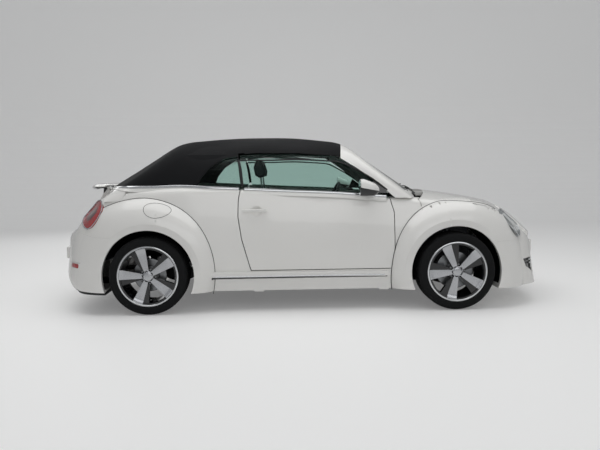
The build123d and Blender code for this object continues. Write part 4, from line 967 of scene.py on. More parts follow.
def belt_line():
    """The foot of windows and hood on the left, from the mirror back to the middle of the tail."""
    side = np.column_stack([np.linspace(BELT_AHEAD, BELT_CORNER, 90), np.full(90, BELT_Y),
                            np.linspace(0.955, 1.045, 90)])
    a = np.radians(np.linspace(0, 90, 60))[1:]
    back = np.column_stack([BELT_CORNER - BELT_BEHIND * np.sin(a), BELT_Y * np.cos(a), np.full(59, 1.045)])
    p = between(np.concatenate([side, back]), 12, 0.001, 0.010)
    within = np.clip(p[:, 0], BELT_TOP[0, 0], BELT_AHEAD)
    top = cubic_through(BELT_TOP[:, 0], BELT_TOP[:, 1:], within)[:, 0]
    height = np.maximum(p[:, 2], top - STRIP_WIDTH / 2)
    height = blur(height[:, None], 0.030, 0.023)[:, 0]
    for _ in range(8):
        p[:, 2] = height
        p = settle(hood_form, p, 0, hood_misfit[0], 0.001, 1)
    return p


belt = belt_line()
_, belt_out = on_hood(belt)
print("belt at the mirror, door rear, hood end:", np.round(belt[[0, 50, 89, -1]], 3))
belt_foot = belt - [0, 0, 0.5 * (STRIP_WIDTH + FOOT_WIDTH) - 0.004]
for _ in range(4):
    belt_foot = settle(hood_form, belt_foot, 0, hood_misfit[0], 0.0, 1)
ON_DOOR = (belt[:, 0] < DOOR_FRONT - 0.006) & (belt[:, 0] > DOOR_REAR + 0.004)
ON_QUARTER = belt[:, 0] < DOOR_REAR - 0.004
for name, side in SIDES.items():
    for part, chosen, body in (("door", ON_DOOR, "door_%s_body" % name), ("quarter", ON_QUARTER, CAR)):
        for kind, line, section, material in (("strip", belt, STRIP, bright_chrome),
                                              ("foot", belt_foot, FOOT, white_paint)):
            trim("belt %s %s %s" % (kind, part, name), line[chosen], section, belt_out[chosen], material,
                 side, body,
                 "white_paint")

# %% Seals of the side windows
SEALS = [
    # name, points (x, z), points along it, width
    ("window seal", [(-0.528, 1.311), (-0.392, 1.322), (-0.034, 1.318), (0.146, 1.303), (0.286, 1.284),
                     (0.443, 1.184),
                     (0.581, 1.087), (0.700, 0.985)], 70, 0.013),
    ("pillar seal", [(-0.541, 1.312), (-0.521, 1.175), (-0.508, 1.040)], 24, 0.024),
]
SEAL_HEIGHT, SEAL_LEVEL = 0.008, -0.006
for name, side in SIDES.items():
    for kind, points, count, width in SEALS:
        path, out = on_hood(curve_through([(x, 0.70, z) for x, z in points], count), SEAL_LEVEL)
        trim("%s %s" % (kind, name), path, round_section(width, SEAL_HEIGHT, 10), out, seal_rubber, side)
print("seals:", len(SEALS) * len(SIDES))

# %% Fuel flap
FLAP_CENTRE, FLAP_HALF = (-1.196, 0.842), (0.105, 0.068)         # (x, z)
c, s = squared_circle(72, 2)
flap = np.column_stack([FLAP_CENTRE[0] + FLAP_HALF[0] * c, np.full(72, 0.80),
                        FLAP_CENTRE[1] + FLAP_HALF[1] * s])
path, out = on_body(flap, 2)
trim("fuel flap joint", path, round_section(0.0032, 0.0014, 8), out, seal_rubber, -1, closed=True)
print("lines done")

# %% [markdown]
# ## Wheels and tyres
# The wheel is cast alloy, lacquered gloss black, with the five broad spoke faces and the rim's edge
# machined bright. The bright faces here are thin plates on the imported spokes. Behind the openings lies a
# ground steel disc. The tyre has a rounded shoulder, three grooves round it, and blocks cut across.

# %% Wheels
# x, y of the wheel's middle, angle of its first spoke, radius of its disc
AXLES = {"front": (FRONT_AXLE, 0.789, 42.0, 0.156), "rear": (REAR_AXLE, 0.772, 31.6, 0.136)}
RIM_HALF, DISC_Y = 0.113, 0.0182
HUB = ((0, 0, 0), (0, 1, 0))
BOLT_CIRCLE = 0.0600


def spoke_plate(angle):
    """One bright face: radius by offset from its middle line, bent forward where it meets the rim's edge."""
    r = np.array([0.050, 0.056, 0.075, 0.110, 0.150, 0.190, 0.208, 0.217, 0.223, 0.2325])
    half = np.interp(r, [0.050, 0.060, 0.223], [0.0195, 0.0215, 0.0410])
    height = np.interp(r, [0.050, 0.110, 0.206, 0.219, 0.2325], [-0.0065, -0.0068, -0.0068, 0.0012, 0.0016])
    across_it = np.array([-1.0, -0.985, -0.6, 0.0, 0.6, 0.985, 1.0])
    drop = np.array([-0.0025, 0.0, 0.0004, 0.0006, 0.0004, 0.0, -0.0025])
    radial = np.sqrt(np.maximum(r[:, None] ** 2 - (half[:, None] * across_it) ** 2, 1e-6))
    side = half[:, None] * across_it
    face = np.stack([radial, side, height[:, None] + drop], -1)
    back = face - [0, 0, 0.004]
    points = np.concatenate([face, back[:, ::-1]], 1)
    ca, sa = np.cos(np.radians(angle)), np.sin(np.radians(angle))
    u, v, w = points[..., 0], points[..., 1], points[..., 2]
    points = np.stack([u * ca - v * sa, w, u * sa + v * ca], -1)
    return tube(points)


def lobed_boss(first):
    """The boss round the cap: a lobe toward each spoke, radius 50 mm and 6 mm more at each spoke."""
    a = np.linspace(0, 2 * np.pi, 80, endpoint=False)
    lobe = 0.050 + 0.006 * np.cos(5 * (a - np.radians(first)))
    rings = [(1.0, -0.026), (1.0, -0.012), (0.985, -0.0075), (0.95, -0.006), (0.84, -0.0055), (0.81, -0.0120)]
    points = [np.column_stack([s * lobe * np.cos(a), np.full(80, h), s * lobe * np.sin(a)]) for s, h in rings]
    points = np.stack(points, 1).reshape(-1, 3)
    return points, grid_faces(80, len(rings), True, False).tolist()


CAP = [(0.0005, 0.0010), (0.018, 0.0006), (0.028, -0.0008), (0.034, -0.0028), (0.0368, -0.0055),
       (0.0372, -0.0120)]
RIM_RING = [(0.2345, -0.004), (0.2350, 0.0008), (0.2365, 0.0022), (0.2450, 0.0022), (0.2478, 0.0006),
            (0.2485, -0.006)]
BOLT = [(0.0005, 0.004), (0.0065, 0.004), (0.0085, 0.002), (0.0085, -0.012)]
disc_steel = grained("ground steel disc", "#8d8f91", ("#7f8183", "#9a9c9e"), 0.34, 1.0, 4.0, 0.05, detail=1.0)


def placed(points, x, y, side):
    """Wheel points, given about the wheel's axis with y outward from its face, moved to their place."""
    return np.asarray(points) * [1, side, 1] + [x, side * y, WHEEL_Z]


for end, (x, middle, first, disc) in AXLES.items():
    bolts = [turned(BOLT, (BOLT_CIRCLE * np.cos(b), -0.020, BOLT_CIRCLE * np.sin(b)), HUB[1], 6)
             for b in np.radians(first + 36 + 72 * np.arange(5))]
    ring = [(0.079, 0.0), (0.080, 0.0012), (disc - 0.006, 0.0012), (disc - 0.002, 0.0),
            (disc - 0.002, -0.004)]
    face_y = middle + RIM_HALF
    wheel_pieces = [
        ("spoke faces", joined([spoke_plate(first + 72 * n) for n in range(5)]), face_y, machined_alloy),
        ("boss", joined([lobed_boss(first), turned(CAP, *HUB, 48)]), face_y, machined_alloy),
        ("rim edge", turned(RIM_RING, *HUB, 120), face_y, bright_chrome),
        ("bolts", joined(bolts), face_y, disc_steel),
        ("disc face", turned(ring, *HUB, 96), middle + DISC_Y, disc_steel),
    ]
    for name, side in SIDES.items():
        wheel = "wheel_%s_%s" % (end, name)
        for title, (points, faces), y, material in wheel_pieces:
            new_piece("%s %s" % (wheel, title), placed(points, x, y, side), faces, material, wheel + "_body",
                      "alloy",
                      smooth=title != "bolts")
print("wheels dressed")

# %% Tyres
TYRE_HALF, BLOCKS, BLOCK_LEAN, CUT_SHARE, CUT_DEPTH = 0.117, 60, 0.10, 0.16, 0.005


def tyre_form(steps):
    """Radius and width over the tread, with three grooves round it and blocks whose cuts lean by their
    side."""
    outline = [(0.2300, 0.098), (0.2420, 0.103), (0.2480, 0.1085), (0.2520, 0.1135), (0.2620, 0.1160),
               (0.2780, 0.1172),
               (0.2940, 0.1160), (0.3050, 0.1125), (0.3120, 0.1060), (0.3170, 0.0975), (0.3195, 0.0880)]
    tread = [(0.3206, 0.0780, 1), (0.3209, 0.0660, 1), (0.3210, 0.0560, 1), (0.3140, 0.0545, 0),
             (0.3140, 0.0475, 0),
             (0.3213, 0.0460, 2), (0.3215, 0.0330, 2), (0.3216, 0.0200, 2), (0.3145, 0.0185, 0),
             (0.3145, 0.0110, 0),
             (0.3218, 0.0095, 3), (0.3219, 0.0, 3)]
    half = [(r, y, 0) for r, y in outline] + tread
    whole = half + [(r, -y, b) for r, y, b in half[::-1][1:]]
    r, y, block = np.array(whole).T
    a = np.linspace(0, 2 * np.pi, steps, endpoint=False)
    lean = BLOCK_LEAN * np.abs(y) / TYRE_HALF
    phase = ((a[:, None] + lean) * BLOCKS / (2 * np.pi)) % 1.0
    cut = (phase < CUT_SHARE) & ((block == 1) | (block == 2))[None, :]
    radius = r[None, :] - CUT_DEPTH * cut
    points = np.stack([radius * np.cos(a)[:, None], np.broadcast_to(y, radius.shape),
                       radius * np.sin(a)[:, None]], -1)
    return points.reshape(-1, 3), grid_faces(steps, len(whole), True, False).tolist()


tread, faces = tyre_form(300)
for end, (x, middle, _, _) in AXLES.items():
    for name, side in SIDES.items():
        node = "tyre_%s_%s" % (end, name)
        tyre = new_piece(node + ".tread", placed(tread, x, middle, side), faces, tyre_rubber,
                         "wheel_%s_%s_body" % (end, name), "tyre")
        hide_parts(node)
print("tyres dressed")

# %% [markdown]
# ## Lamps
# A headlamp is a clear domed lens over a bright bowl, with one large and one small reflector in it and a
# thin rim round it. A tail lamp is a red lens with a darker disc in its middle.

# %% Lenses
LENS_CROWN, LENS_WALL, LENS_CLEAR = 0.012, 0.026, 0.002
LAMPS = {
    # centre, axis, radius, material, slot
    "headlamp": ((1.758, 0.655, 0.690), (0.717, 0.360, 0.597), 0.140, lamp_glass, "lamp_lens"),
    "tail_lamp": ((-1.740, 0.690, 0.808), (-0.637, 0.300, 0.710), 0.126, red_lens, "tail_lens"),
}


def lamp_axes(lamp):
    """Centre, axis, radius and the two directions across a lamp."""
    centre, axis, radius = np.array(lamp[0]), np.array(lamp[1]), lamp[2]
    axis = axis / np.linalg.norm(axis)
    u = np.cross(axis, [0, 0, 1.0])
    u /= np.linalg.norm(u)
    return centre, axis, radius, u, np.cross(axis, u)


def lamp_ring(lamp, share, count=96):
    """A circle about the lamp's axis at a share of its radius."""
    centre, _, radius, u, v = lamp_axes(lamp)
    a = np.linspace(0, 2 * np.pi, count, endpoint=False)
    return centre + share * radius * (np.cos(a)[:, None] * u + np.sin(a)[:, None] * v)


def lamp_edge(lamp):
    """Height along the axis of the lamp's edge: that of the skin, kept to three waves round and lifted
    clear."""
    centre, axis, _, _, _ = lamp_axes(lamp)
    p = lamp_ring(lamp, 1.0)
    for _ in range(12):
        part = part_of_body(p)
        for k in np.unique(part):
            on = part == k
            g = slope_of(body_form, p[on], k)
            error = body_form(p[on], k) - looked_up(body_misfit[k], p[on])
            p[on] -= (error / np.maximum((g * axis).sum(1), 0.2))[:, None] * axis
    height = (p - centre) @ axis
    waves = np.fft.rfft(height)
    waves[4:] = 0
    even = np.fft.irfft(waves, len(height))
    return even + 0.5 * (height - even).max() + LENS_CLEAR


def dome(lamp, edge, shares, lift=0.0):
    """A lens: at share s of the radius its height is edge s^2 + (mean + crown) (1 - s^2); a wall hangs at
    its edge."""
    centre, axis, radius, u, v = lamp_axes(lamp)
    a = np.linspace(0, 2 * np.pi, len(edge), endpoint=False)
    s = np.array(shares)[:, None]
    height = edge[None] * s ** 2 + (edge.mean() + LENS_CROWN) * (1 - s ** 2) + lift
    height = np.concatenate([height, height[-1:] - LENS_WALL])
    s = np.concatenate([s, s[-1:]])
    round_it = np.cos(a)[:, None] * u + np.sin(a)[:, None] * v
    points = centre + radius * s[..., None] * round_it[None] + height[..., None] * axis
    return points.reshape(-1, 3), grid_faces(len(s), len(edge), False, True)


SHARES = [0.002, 0.15, 0.30, 0.45, 0.60, 0.72, 0.82, 0.90, 0.96, 0.993]
RIM_SECTION = round_section(0.010, 0.007, 12)
for kind, lamp in LAMPS.items():
    edge, axis = lamp_edge(lamp), lamp_axes(lamp)[1]
    rim = lamp_ring(lamp, 0.997) + edge[:, None] * axis
    points, faces = dome(lamp, edge, SHARES)
    metal = bright_chrome if kind == "headlamp" else machined_alloy
    for name, side in SIDES.items():
        node = "%s_%s" % (kind, name)
        lens = new_piece(node + ".lens", *sided(side, points), faces, lamp[3], CAR, lamp[4])
        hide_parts(node)
        trim(node + " rim", rim, RIM_SECTION, np.tile(axis, (len(edge), 1)), metal, side, closed=True)
print("lenses done")

# %% Insides of the headlamps
lamp_bowl = grained("aluminised lamp bowl", "#d3d6d8", ("#cacdcf", "#dcdfe1"), 0.30, 0.75, 12.0, 0.1)
BOWL = [(0.134, 0.006), (0.128, -0.012), (0.105, -0.030), (0.070, -0.040), (0.0005, -0.043)]
DISH = [(0.062, 0.004), (0.060, 0.006), (0.056, 0.002), (0.046, -0.014), (0.028, -0.024), (0.0005, -0.028)]
SMALL_DISH = [(r * 0.52, h * 0.6) for r, h in DISH]
BULB = [(0.0005, 0.002), (0.016, 0.0), (0.022, -0.008), (0.023, -0.026)]
centre, axis, _, _, v = lamp_axes(LAMPS["headlamp"])
sink = centre - 0.036 * axis
big, small = sink + 0.020 * v, sink - 0.082 * v
INSIDES = [
    ("bowl", turned(BOWL, sink, axis, 72), lamp_bowl),
    ("reflectors", joined([turned(DISH, big, axis, 56), turned(SMALL_DISH, small, axis, 40)]), bright_chrome),
    ("bulb shield", turned(BULB, big, axis, 32), smoke_lens),
]
for name, side in SIDES.items():
    for kind, (points, faces), material in INSIDES:
        new_piece("headlamp %s %s" % (kind, name), *sided(side, points), faces, material, CAR,
                  "black_plastic")
print("headlamp insides:", len(INSIDES) * len(SIDES))

# %% Middles of the tail lamps
MIDDLE_SHARES = [0.002, 0.15, 0.30, 0.42, 0.50, 0.54]
lamp = LAMPS["tail_lamp"]
points, faces = dome(lamp, lamp_edge(lamp), MIDDLE_SHARES, lift=0.0012)
for name, side in SIDES.items():
    new_piece("tail lamp middle %s" % name, *sided(side, points), faces, smoke_lens, CAR, "tail_lens")
print("lamps done")

# %% [markdown]
# ## Nodes that stay as packed
# Running gear, inner panels and grilles show little and are right as they are packed, so each only takes
# the finish of what it is made of: satin black steel below, felt in the wheel wells, cast iron knuckles,
# lacquered wheels.

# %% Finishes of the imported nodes
WHEELS = ["wheel_%s_%s" % (end, name) for end in ("front", "rear") for name in SIDES]
FINISHES = [
    (chassis_black, ["front_subframe", "rear_axle"]),
    (well_felt, ["floor_pan", "cowl_panel"]),
    (gloss_black, ["front_grille", "intake_left", "intake_right"] + WHEELS),
    (cast_iron, ["knuckle_left", "knuckle_right"]),
    (engine_cast, ["engine_block"]),
    (exhaust_steel, ["exhaust"]),
    (white_paint, ["sill_strip_left", "sill_strip_right"]),
    (dash_plastic, ["dashboard"]),
    (seat_leather, ["steering_wheel"]),
]
for material, names in FINISHES:
    for node in names:
        for material_slot in frame["nodes"][node].material_slots:
            material_slot.material = material
print("packed nodes kept:", sum(len(names) for _, names in FINISHES))

# %% [markdown]
# ## Mirrors, spoiler and handles
# A door mirror is a wedge, tall at its glass and low in front, white above a line and black below it, on a
# short arm from a black corner piece. The spoiler is a thin wing section, bowed in plan. The door handle is
# a round-ended bar over a shallow cup in the door.

# %% Helpers for two colours and for points on any part of the body
def two_colours(obj, material, test):
    """Gives the faces that pass the test, on their centres and normals, a further material."""
    count = len(obj.data.polygons)
    centre, normal = np.empty(3 * count), np.empty(3 * count)
    obj.data.polygons.foreach_get("center", centre)
    obj.data.polygons.foreach_get("normal", normal)
    obj.data.materials.append(material)
    chosen = test(centre.reshape(-1, 3), normal.reshape(-1, 3))
    obj.data.polygons.foreach_set("material_index", chosen.astype(int))
    return obj


def on_skin(points, level=0.0):
    """Points moved onto whichever part of the body lies there, and the outward directions."""
    points = np.asarray(points, float).copy()
    out = np.empty_like(points)
    for _ in range(3):
        part = part_of_body(points)
        for k in np.unique(part):
            points[part == k], out[part == k] = on_body(points[part == k], k, level)
    return points, out


# the hood's foot runs on below the belt at its rear corners, and there it is the painted panel that shows
HOOD_FOOT = 1.027
two_colours(skins["soft_top"], white_paint, lambda centre, normal: centre[:, 2] < HOOD_FOOT)
print("the hood's foot is painted below", HOOD_FOOT, "m")

# %% Door mirrors
MIRROR_REAR, MIRROR_FRONT, MIRROR_Y = 0.4475, 0.6045, 0.936
MIRROR_POWER = 2.6


def mirror_split(x):
    """Height of the line between the white and the black half."""
    return 1.026 - 0.030 * (x - MIRROR_REAR) / (MIRROR_FRONT - MIRROR_REAR)


def mirror_body():
    """Sections along the car, each |y/b|^p + |z/h|^p = 1, closed in to both ends, with a row on the split."""
    t = np.array([0.0, 0.0, 0.012, 0.05, 0.12, 0.22, 0.34, 0.46, 0.58, 0.69, 0.79, 0.87, 0.93, 0.97, 0.993,
                  1.0])
    x = MIRROR_REAR + t * (MIRROR_FRONT - MIRROR_REAR)
    top = np.interp(t, [0, 0.06, 0.20, 0.5, 1.0], [1.088, 1.094, 1.094, 1.076, 1.044])
    bottom = np.interp(t, [0, 0.3, 0.8, 1.0], [0.957, 0.953, 0.957, 0.970])
    half = np.interp(t, [0, 0.15, 0.6, 1.0], [0.066, 0.0715, 0.066, 0.048])
    close = np.sqrt(np.clip(1 - (np.maximum(t - 0.6, 0) / 0.4) ** MIRROR_POWER, 1e-4, 1))
    close[:3] = [0.02, 0.955, 0.99]
    middle = (top + bottom) / 2
    height = (top - bottom) / 2 * close
    half = half * close
    power = MIRROR_POWER
    rows = []
    for i in range(len(t)):
        share = np.clip((mirror_split(x[i]) - middle[i]) / max(height[i], 1e-4), -0.9, 0.9)
        across_share = (1 - abs(share) ** power) ** (1 / power)
        low = np.arctan2(np.sign(share) * abs(share) ** (power / 2), across_share ** (power / 2))
        a = np.concatenate([np.linspace(low, np.pi - low, 17),
                            np.linspace(np.pi - low, 2 * np.pi + low, 17)[1:-1]])
        c, s = np.cos(a), np.sin(a)
        y = half[i] * np.sign(c) * np.abs(c) ** (2 / power)
        z = middle[i] + height[i] * np.sign(s) * np.abs(s) ** (2 / power)
        rows.append(np.column_stack([np.full(len(a), x[i]), MIRROR_Y + y, z]))
    return tube(np.stack(rows))


def mirror_glass():
    """A flat pane just inside the rear rim."""
    c, s = squared_circle(48, 3)
    front = np.column_stack([np.zeros(48), 0.058 * c, 0.056 * s]) + [MIRROR_REAR - 0.0015, MIRROR_Y, 1.024]
    return tube(np.stack([front, front + [0.003, 0, 0]]))


def mirror_corner():
    """The black corner between the window and the pillar: a patch of 16 by 8 points, 4 mm thick."""
    t, u = np.meshgrid(np.linspace(0, 1, 16), np.linspace(0, 1, 8), indexing="ij")
    low = np.stack([0.548 + 0.148 * t, np.full(t.shape, 0.72), 0.976 - 0.009 * t], -1)
    high = np.stack([0.588 + 0.108 * t, np.full(t.shape, 0.70), 1.066 - 0.086 * t], -1)
    patch, out = on_hood((low + (high - low) * u[..., None]).reshape(-1, 3), 0.0005)
    n = len(patch)
    top_faces = grid_faces(16, 8, closed_columns=False)
    edge = np.concatenate([np.arange(0, 8), np.arange(15, 128, 8), np.arange(126, 119, -1),
                           np.arange(112, 0, -8)])
    walls = [[a, b, b + n, a + n] for a, b in zip(edge, np.roll(edge, -1)) if a != b]
    faces = top_faces.tolist() + (top_faces[:, ::-1] + n).tolist() + walls
    return np.concatenate([patch, patch - 0.004 * out]), faces


def black_half(centre, normal):
    """The mirror's lower half and its rear rim."""
    return (centre[:, 2] < mirror_split(centre[:, 0])) | (normal[:, 0] < -0.8)


ARM = [(0.560, 0.728, 0.962), (0.558, 0.770, 0.964), (0.553, 0.820, 0.970), (0.547, 0.875, 0.980),
       (0.543, 0.910, 0.990)]
ARM_SECTION = round_section(0.072, 0.034, 20) - [0, 0.017]
for name, side in SIDES.items():
    body = "door_%s_body" % name
    points, faces = mirror_body()
    shell = new_piece("mirror body %s" % name, *sided(side, points), faces, white_paint, body, "white_paint",
                      angle=50)
    two_colours(shell, gloss_black, black_half)
    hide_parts("mirror_" + name)
    points, faces = mirror_glass()
    new_piece("mirror glass %s" % name, *sided(side, points), faces, bright_chrome, body, "black_plastic",
              angle=30)
    trim("mirror arm %s" % name, curve_through(ARM, 14), ARM_SECTION, (0.0, 0.0, 1.0), gloss_black, side,
         body)
    points, faces = mirror_corner()
    new_piece("mirror corner %s" % name, *sided(side, points), faces, gloss_black, body, "black_plastic")
print("mirrors done")

# %% Spoiler
SPOILER_REAR, SPOILER_FRONT, SPOILER_HALF, SPOILER_BOW = -1.917, -1.678, 0.560, 0.150
SPOILER_Z = 1.050
WING_SECTION = np.array([
    # share of the chord from the rear edge, height
    (0.000, 1.0430), (0.040, 1.0530), (0.100, 1.0620), (0.190, 1.0675), (0.400, 1.0695), (0.700, 1.0695),
    (0.930, 1.0685), (0.985, 1.0640), (1.000, 1.0570), (0.985, 1.0510), (0.900, 1.0445), (0.800, 1.0385),
    (0.500, 1.0295), (0.250, 1.0225), (0.100, 1.0280), (0.020, 1.0370)])
y = SPOILER_HALF * np.sin(np.radians(np.linspace(-90, 90, 45)))
share = np.abs(y) / SPOILER_HALF
rear = SPOILER_REAR + SPOILER_BOW * share ** 2
thick = np.sqrt(np.clip(1 - share ** 14, 0.01, 1))
chord = (SPOILER_FRONT - rear) * (1 - 0.10 * share ** 10)
px = rear[:, None] + chord[:, None] * WING_SECTION[None, :, 0]
pz = SPOILER_Z + (WING_SECTION[None, :, 1] - SPOILER_Z) * thick[:, None]
points, faces = tube(np.stack([px, np.broadcast_to(y[:, None], px.shape), pz], -1))
blade = new_piece("spoiler blade", points, faces, white_paint, "boot_lid_body", "white_paint")
# the faces that look down are gloss black: painted shade under the blade
two_colours(blade, gloss_black, lambda centre, normal: normal[:, 2] < -0.2)
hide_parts("spoiler")
FOOT_Y, FOOT_HALF = 0.300, 0.0135
# rear x, front x and height of each foot's three sections
rear, front, height = np.array([(-1.778, -1.742, 0.900), (-1.775, -1.736, 0.980),
                                (-1.770, -1.726, 1.034)]).T[..., None]
c, s = squared_circle(24, 4)
flat = (3, len(c))
foot = np.stack([(rear + front) / 2 + (front - rear) / 2 * c, np.broadcast_to(FOOT_Y + FOOT_HALF * s, flat),
                 np.broadcast_to(height, flat)], -1)
points, faces = tube(foot)
for name, side in SIDES.items():
    new_piece("spoiler foot %s" % name, *sided(side, points), faces, gloss_black, "boot_lid_body",
              "black_plastic")
print("spoiler done")

# %% Door handles
HANDLE_X, HANDLE_Z = (-0.503, -0.302), 0.842
HANDLE_SECTION, HANDLE_LIFT = round_section(0.0235, 0.0125, 16), 0.0165
# the cup's depth is only shaded
CUP_X, CUP_Z, CUP_HALF_X, CUP_HALF_Z, CUP_DEPTH = -0.390, 0.840, 0.054, 0.048, 0.020
for name, side in SIDES.items():
    body = "door_%s_body" % name
    t = np.linspace(0, 1, 40)
    line = np.column_stack([HANDLE_X[0] + t * (HANDLE_X[1] - HANDLE_X[0]), np.full(40, 0.80),
                            np.full(40, HANDLE_Z)])
    base, out = on_skin(line)
    lift = HANDLE_LIFT * np.clip(1 - np.abs(2 * t - 1) ** 7, 0.0, 1)
    taper = np.sqrt(np.clip(1 - np.abs(2 * t - 1) ** 12, 0.03, 1))
    path = base + lift[:, None] * out
    along = np.gradient(path, axis=0)
    along /= np.linalg.norm(along, axis=1)[:, None]
    up_way = np.cross(along, out)
    section = HANDLE_SECTION[None]
    points = section[..., :1] * up_way[:, None] + section[..., 1:] * out[:, None]
    points, faces = tube(path[:, None] + taper[:, None, None] * points)
    new_piece("door handle %s" % name, *sided(side, points), faces, white_paint, body, "white_paint")
    # the cup: a patch on the skin whose shading normals are those of a bowl, -depth (1 - r^2)^2
    rings, turns = 14, 64
    r = np.linspace(0.02, 1.0, rings)
    a = np.linspace(0, 2 * np.pi, turns, endpoint=False)
    place = np.stack([CUP_X + CUP_HALF_X * r[:, None] * np.cos(a), np.full((rings, turns), 0.80),
                      CUP_Z + CUP_HALF_Z * r[:, None] * np.sin(a)], -1).reshape(-1, 3)
    place, out = on_skin(place, 0.0006)
    slope = 4 * CUP_DEPTH * r * (1 - r ** 2) / CUP_HALF_X
    away = np.stack([np.cos(a), np.zeros(turns), np.sin(a)], -1)
    lean = out - (slope[:, None, None] * away[None]).reshape(-1, 3)
    lean /= np.linalg.norm(lean, axis=1)[:, None]
    shaded_patch("door_handle_cup_%s" % name, place, lean, grid_faces(rings, turns), side, body)
print("handles done")

# %% [markdown]
# ## Arch lips, sills and the lower trim
# Round each wheel opening the wing turns in to a flat lip about 45 mm wide, which catches less light than
# the wing. It is a band on the skin with its shading turned toward the wheel. Under the doors the sill
# carries a white strip with a bright line, and below it a groove whose dark is painted shade: a gloss black
# line on the skin.

# %% Arch lips
LIP, LIP_LEAN = (0.3795, 0.4250), 0.42
LIP_ROWS, LIP_COLUMNS = 110, 7
ARCHES = {"front": (FRONT_AXLE, 36, 190), "rear": (REAR_AXLE, -10, 150)}       # x, angles from and to
for name, side in SIDES.items():
    for k, (end, (axle, low, high)) in enumerate(ARCHES.items()):
        a = np.radians(np.linspace(low, high, LIP_ROWS))
        fade = np.clip(np.minimum(a - a[0], a[-1] - a) / 0.5, 0, 1)
        r = np.linspace(*LIP, LIP_COLUMNS)
        way = np.stack([np.cos(a), np.zeros(LIP_ROWS), np.sin(a)], -1)[:, None]
        place = np.array([axle, 0.87, WHEEL_Z]) + r[None, :, None] * way
        place, out = on_body(place.reshape(-1, 3), k + 1, 0.0012)
        amount = LIP_LEAN * fade * fade * (3 - 2 * fade)
        lean = out.reshape(LIP_ROWS, LIP_COLUMNS, 3) - amount[:, None, None] * way
        lean = (lean / np.linalg.norm(lean, axis=-1, keepdims=True)).reshape(-1, 3)
        quads = grid_faces(LIP_ROWS, LIP_COLUMNS, closed_columns=False)
        shaded_patch("arch_lip_%s_%s" % (end, name), place, lean, quads, side, CAR)
print("arch lips done")

# %% Sill lines
SILL_LINES = [
    # name, x from, x to, y, z, width, height, material; the groove lies on the skin, and its gloss black is
    # painted shade
    ("bright", -0.752, 0.668, 0.8300, 0.2985, 0.0105, 0.0060, bright_chrome),
    ("groove", -0.772, 0.694, 0.8205, 0.2830, 0.0165, 0.0030, gloss_black),
]
for name, side in SIDES.items():
    for kind, x0, x1, y0, z0, width, height, material in SILL_LINES:
        line = np.column_stack([np.linspace(x0, x1, 50), np.full(50, y0), np.full(50, z0)])
        out = np.tile([0.0, 1.0, 0.0], (50, 1))
        if kind == "groove":
            line, out = on_skin(line)
        trim("sill %s %s" % (kind, name), line, round_section(width, height, 10), out, material, side)
print("sill lines:", len(SILL_LINES) * len(SIDES))

# %% [markdown]
# ## Front and rear trim
# Each side intake has two bright bars and a round fog lamp in it. Blank plates are fixed front and rear.
# The rear bumper carries a red reflector at each corner under a thin bright line. Black cowl trim and two
# wipers lie along the foot of the windscreen.

# %% Intake bars and fog lamps
INTAKE_BARS = [(0.380, 0.509, 0.741), (0.352, 0.513, 0.733)]           # z, y from and to
FOG_LAMP = [
    ("rim", [(0.0365, -0.014), (0.0365, 0.001), (0.0350, 0.003), (0.0325, 0.002), (0.0315, -0.002)],
     bright_chrome),
    ("dish", [(0.0315, -0.002), (0.028, -0.010), (0.018, -0.017), (0.0005, -0.020)], lamp_bowl),
    ("lens", [(0.0318, 0.000), (0.026, 0.0030), (0.015, 0.0048), (0.0005, 0.0054)], lamp_glass),
]
for name, side in SIDES.items():
    for z0, y0, y1 in INTAKE_BARS:
        line = np.column_stack([np.full(30, 2.0), np.linspace(y0, y1, 30), np.full(30, z0)])
        for _ in range(6):
            line, out = on_body(line, 0, -0.007)
            line[:, 2] = z0
        trim("intake bar %d %s" % (1000 * z0, name), line, round_section(0.0125, 0.0080, 12), out,
             bright_chrome, side)
    centre, out = on_body(np.array([[2.03, 0.580, 0.303]]), 0, -0.014)
    centre, out = sided(side, centre, out)
    for kind, outline, material in FOG_LAMP:
        points, faces = turned(outline, centre[0], out[0], 48)
        new_piece("fog lamp %s %s" % (kind, name), points, faces, material, CAR, "lamp_lens")
print("intakes done")

# %% Plates, reflectors and the line over them
PLATE_Z = 0.448
PLATE, PAD = (0.512, 0.104, 0.0015), (0.519, 0.111, 0.0358)            # width, height, depth
REFLECTOR = [(-1.862, 0.745, 0.394), (-1.900, 0.725, 0.394), (-1.945, 0.690, 0.394), (-1.985, 0.645, 0.394)]


def plate(x, outward, width, height, depth):
    """A rounded plate facing along the car."""
    c, s = squared_circle(64, 12)
    edge = np.column_stack([np.full(64, x), width / 2 * c, PLATE_Z + height / 2 * s])
    return tube(np.stack([edge, edge + [outward * depth, 0, 0]]))


for end, x, outward in (("front", NOSE, 1), ("rear", TAIL, -1)):
    new_piece("plate pad %s" % end, *plate(x - outward * 0.036, outward, *PAD), white_paint, CAR,
              "black_plastic",
              angle=30)
    new_piece("plate %s" % end, *plate(x + outward * 0.0005, outward, *PLATE), plate_white, CAR,
              "white_paint",
              angle=30)
for name, side in SIDES.items():
    line = curve_through(REFLECTOR, 30)
    red, out = on_body(line, 0, 0.0)
    red[:, 2] = line[:, 2]
    trim("reflector %s" % name, red, round_section(0.036, 0.004, 14), out, red_lens, side, slot="tail_lens")
    trim("reflector line %s" % name, red + [0, 0, 0.026], round_section(0.005, 0.004, 10), out, bright_chrome,
         side)
print("plates and reflectors done")

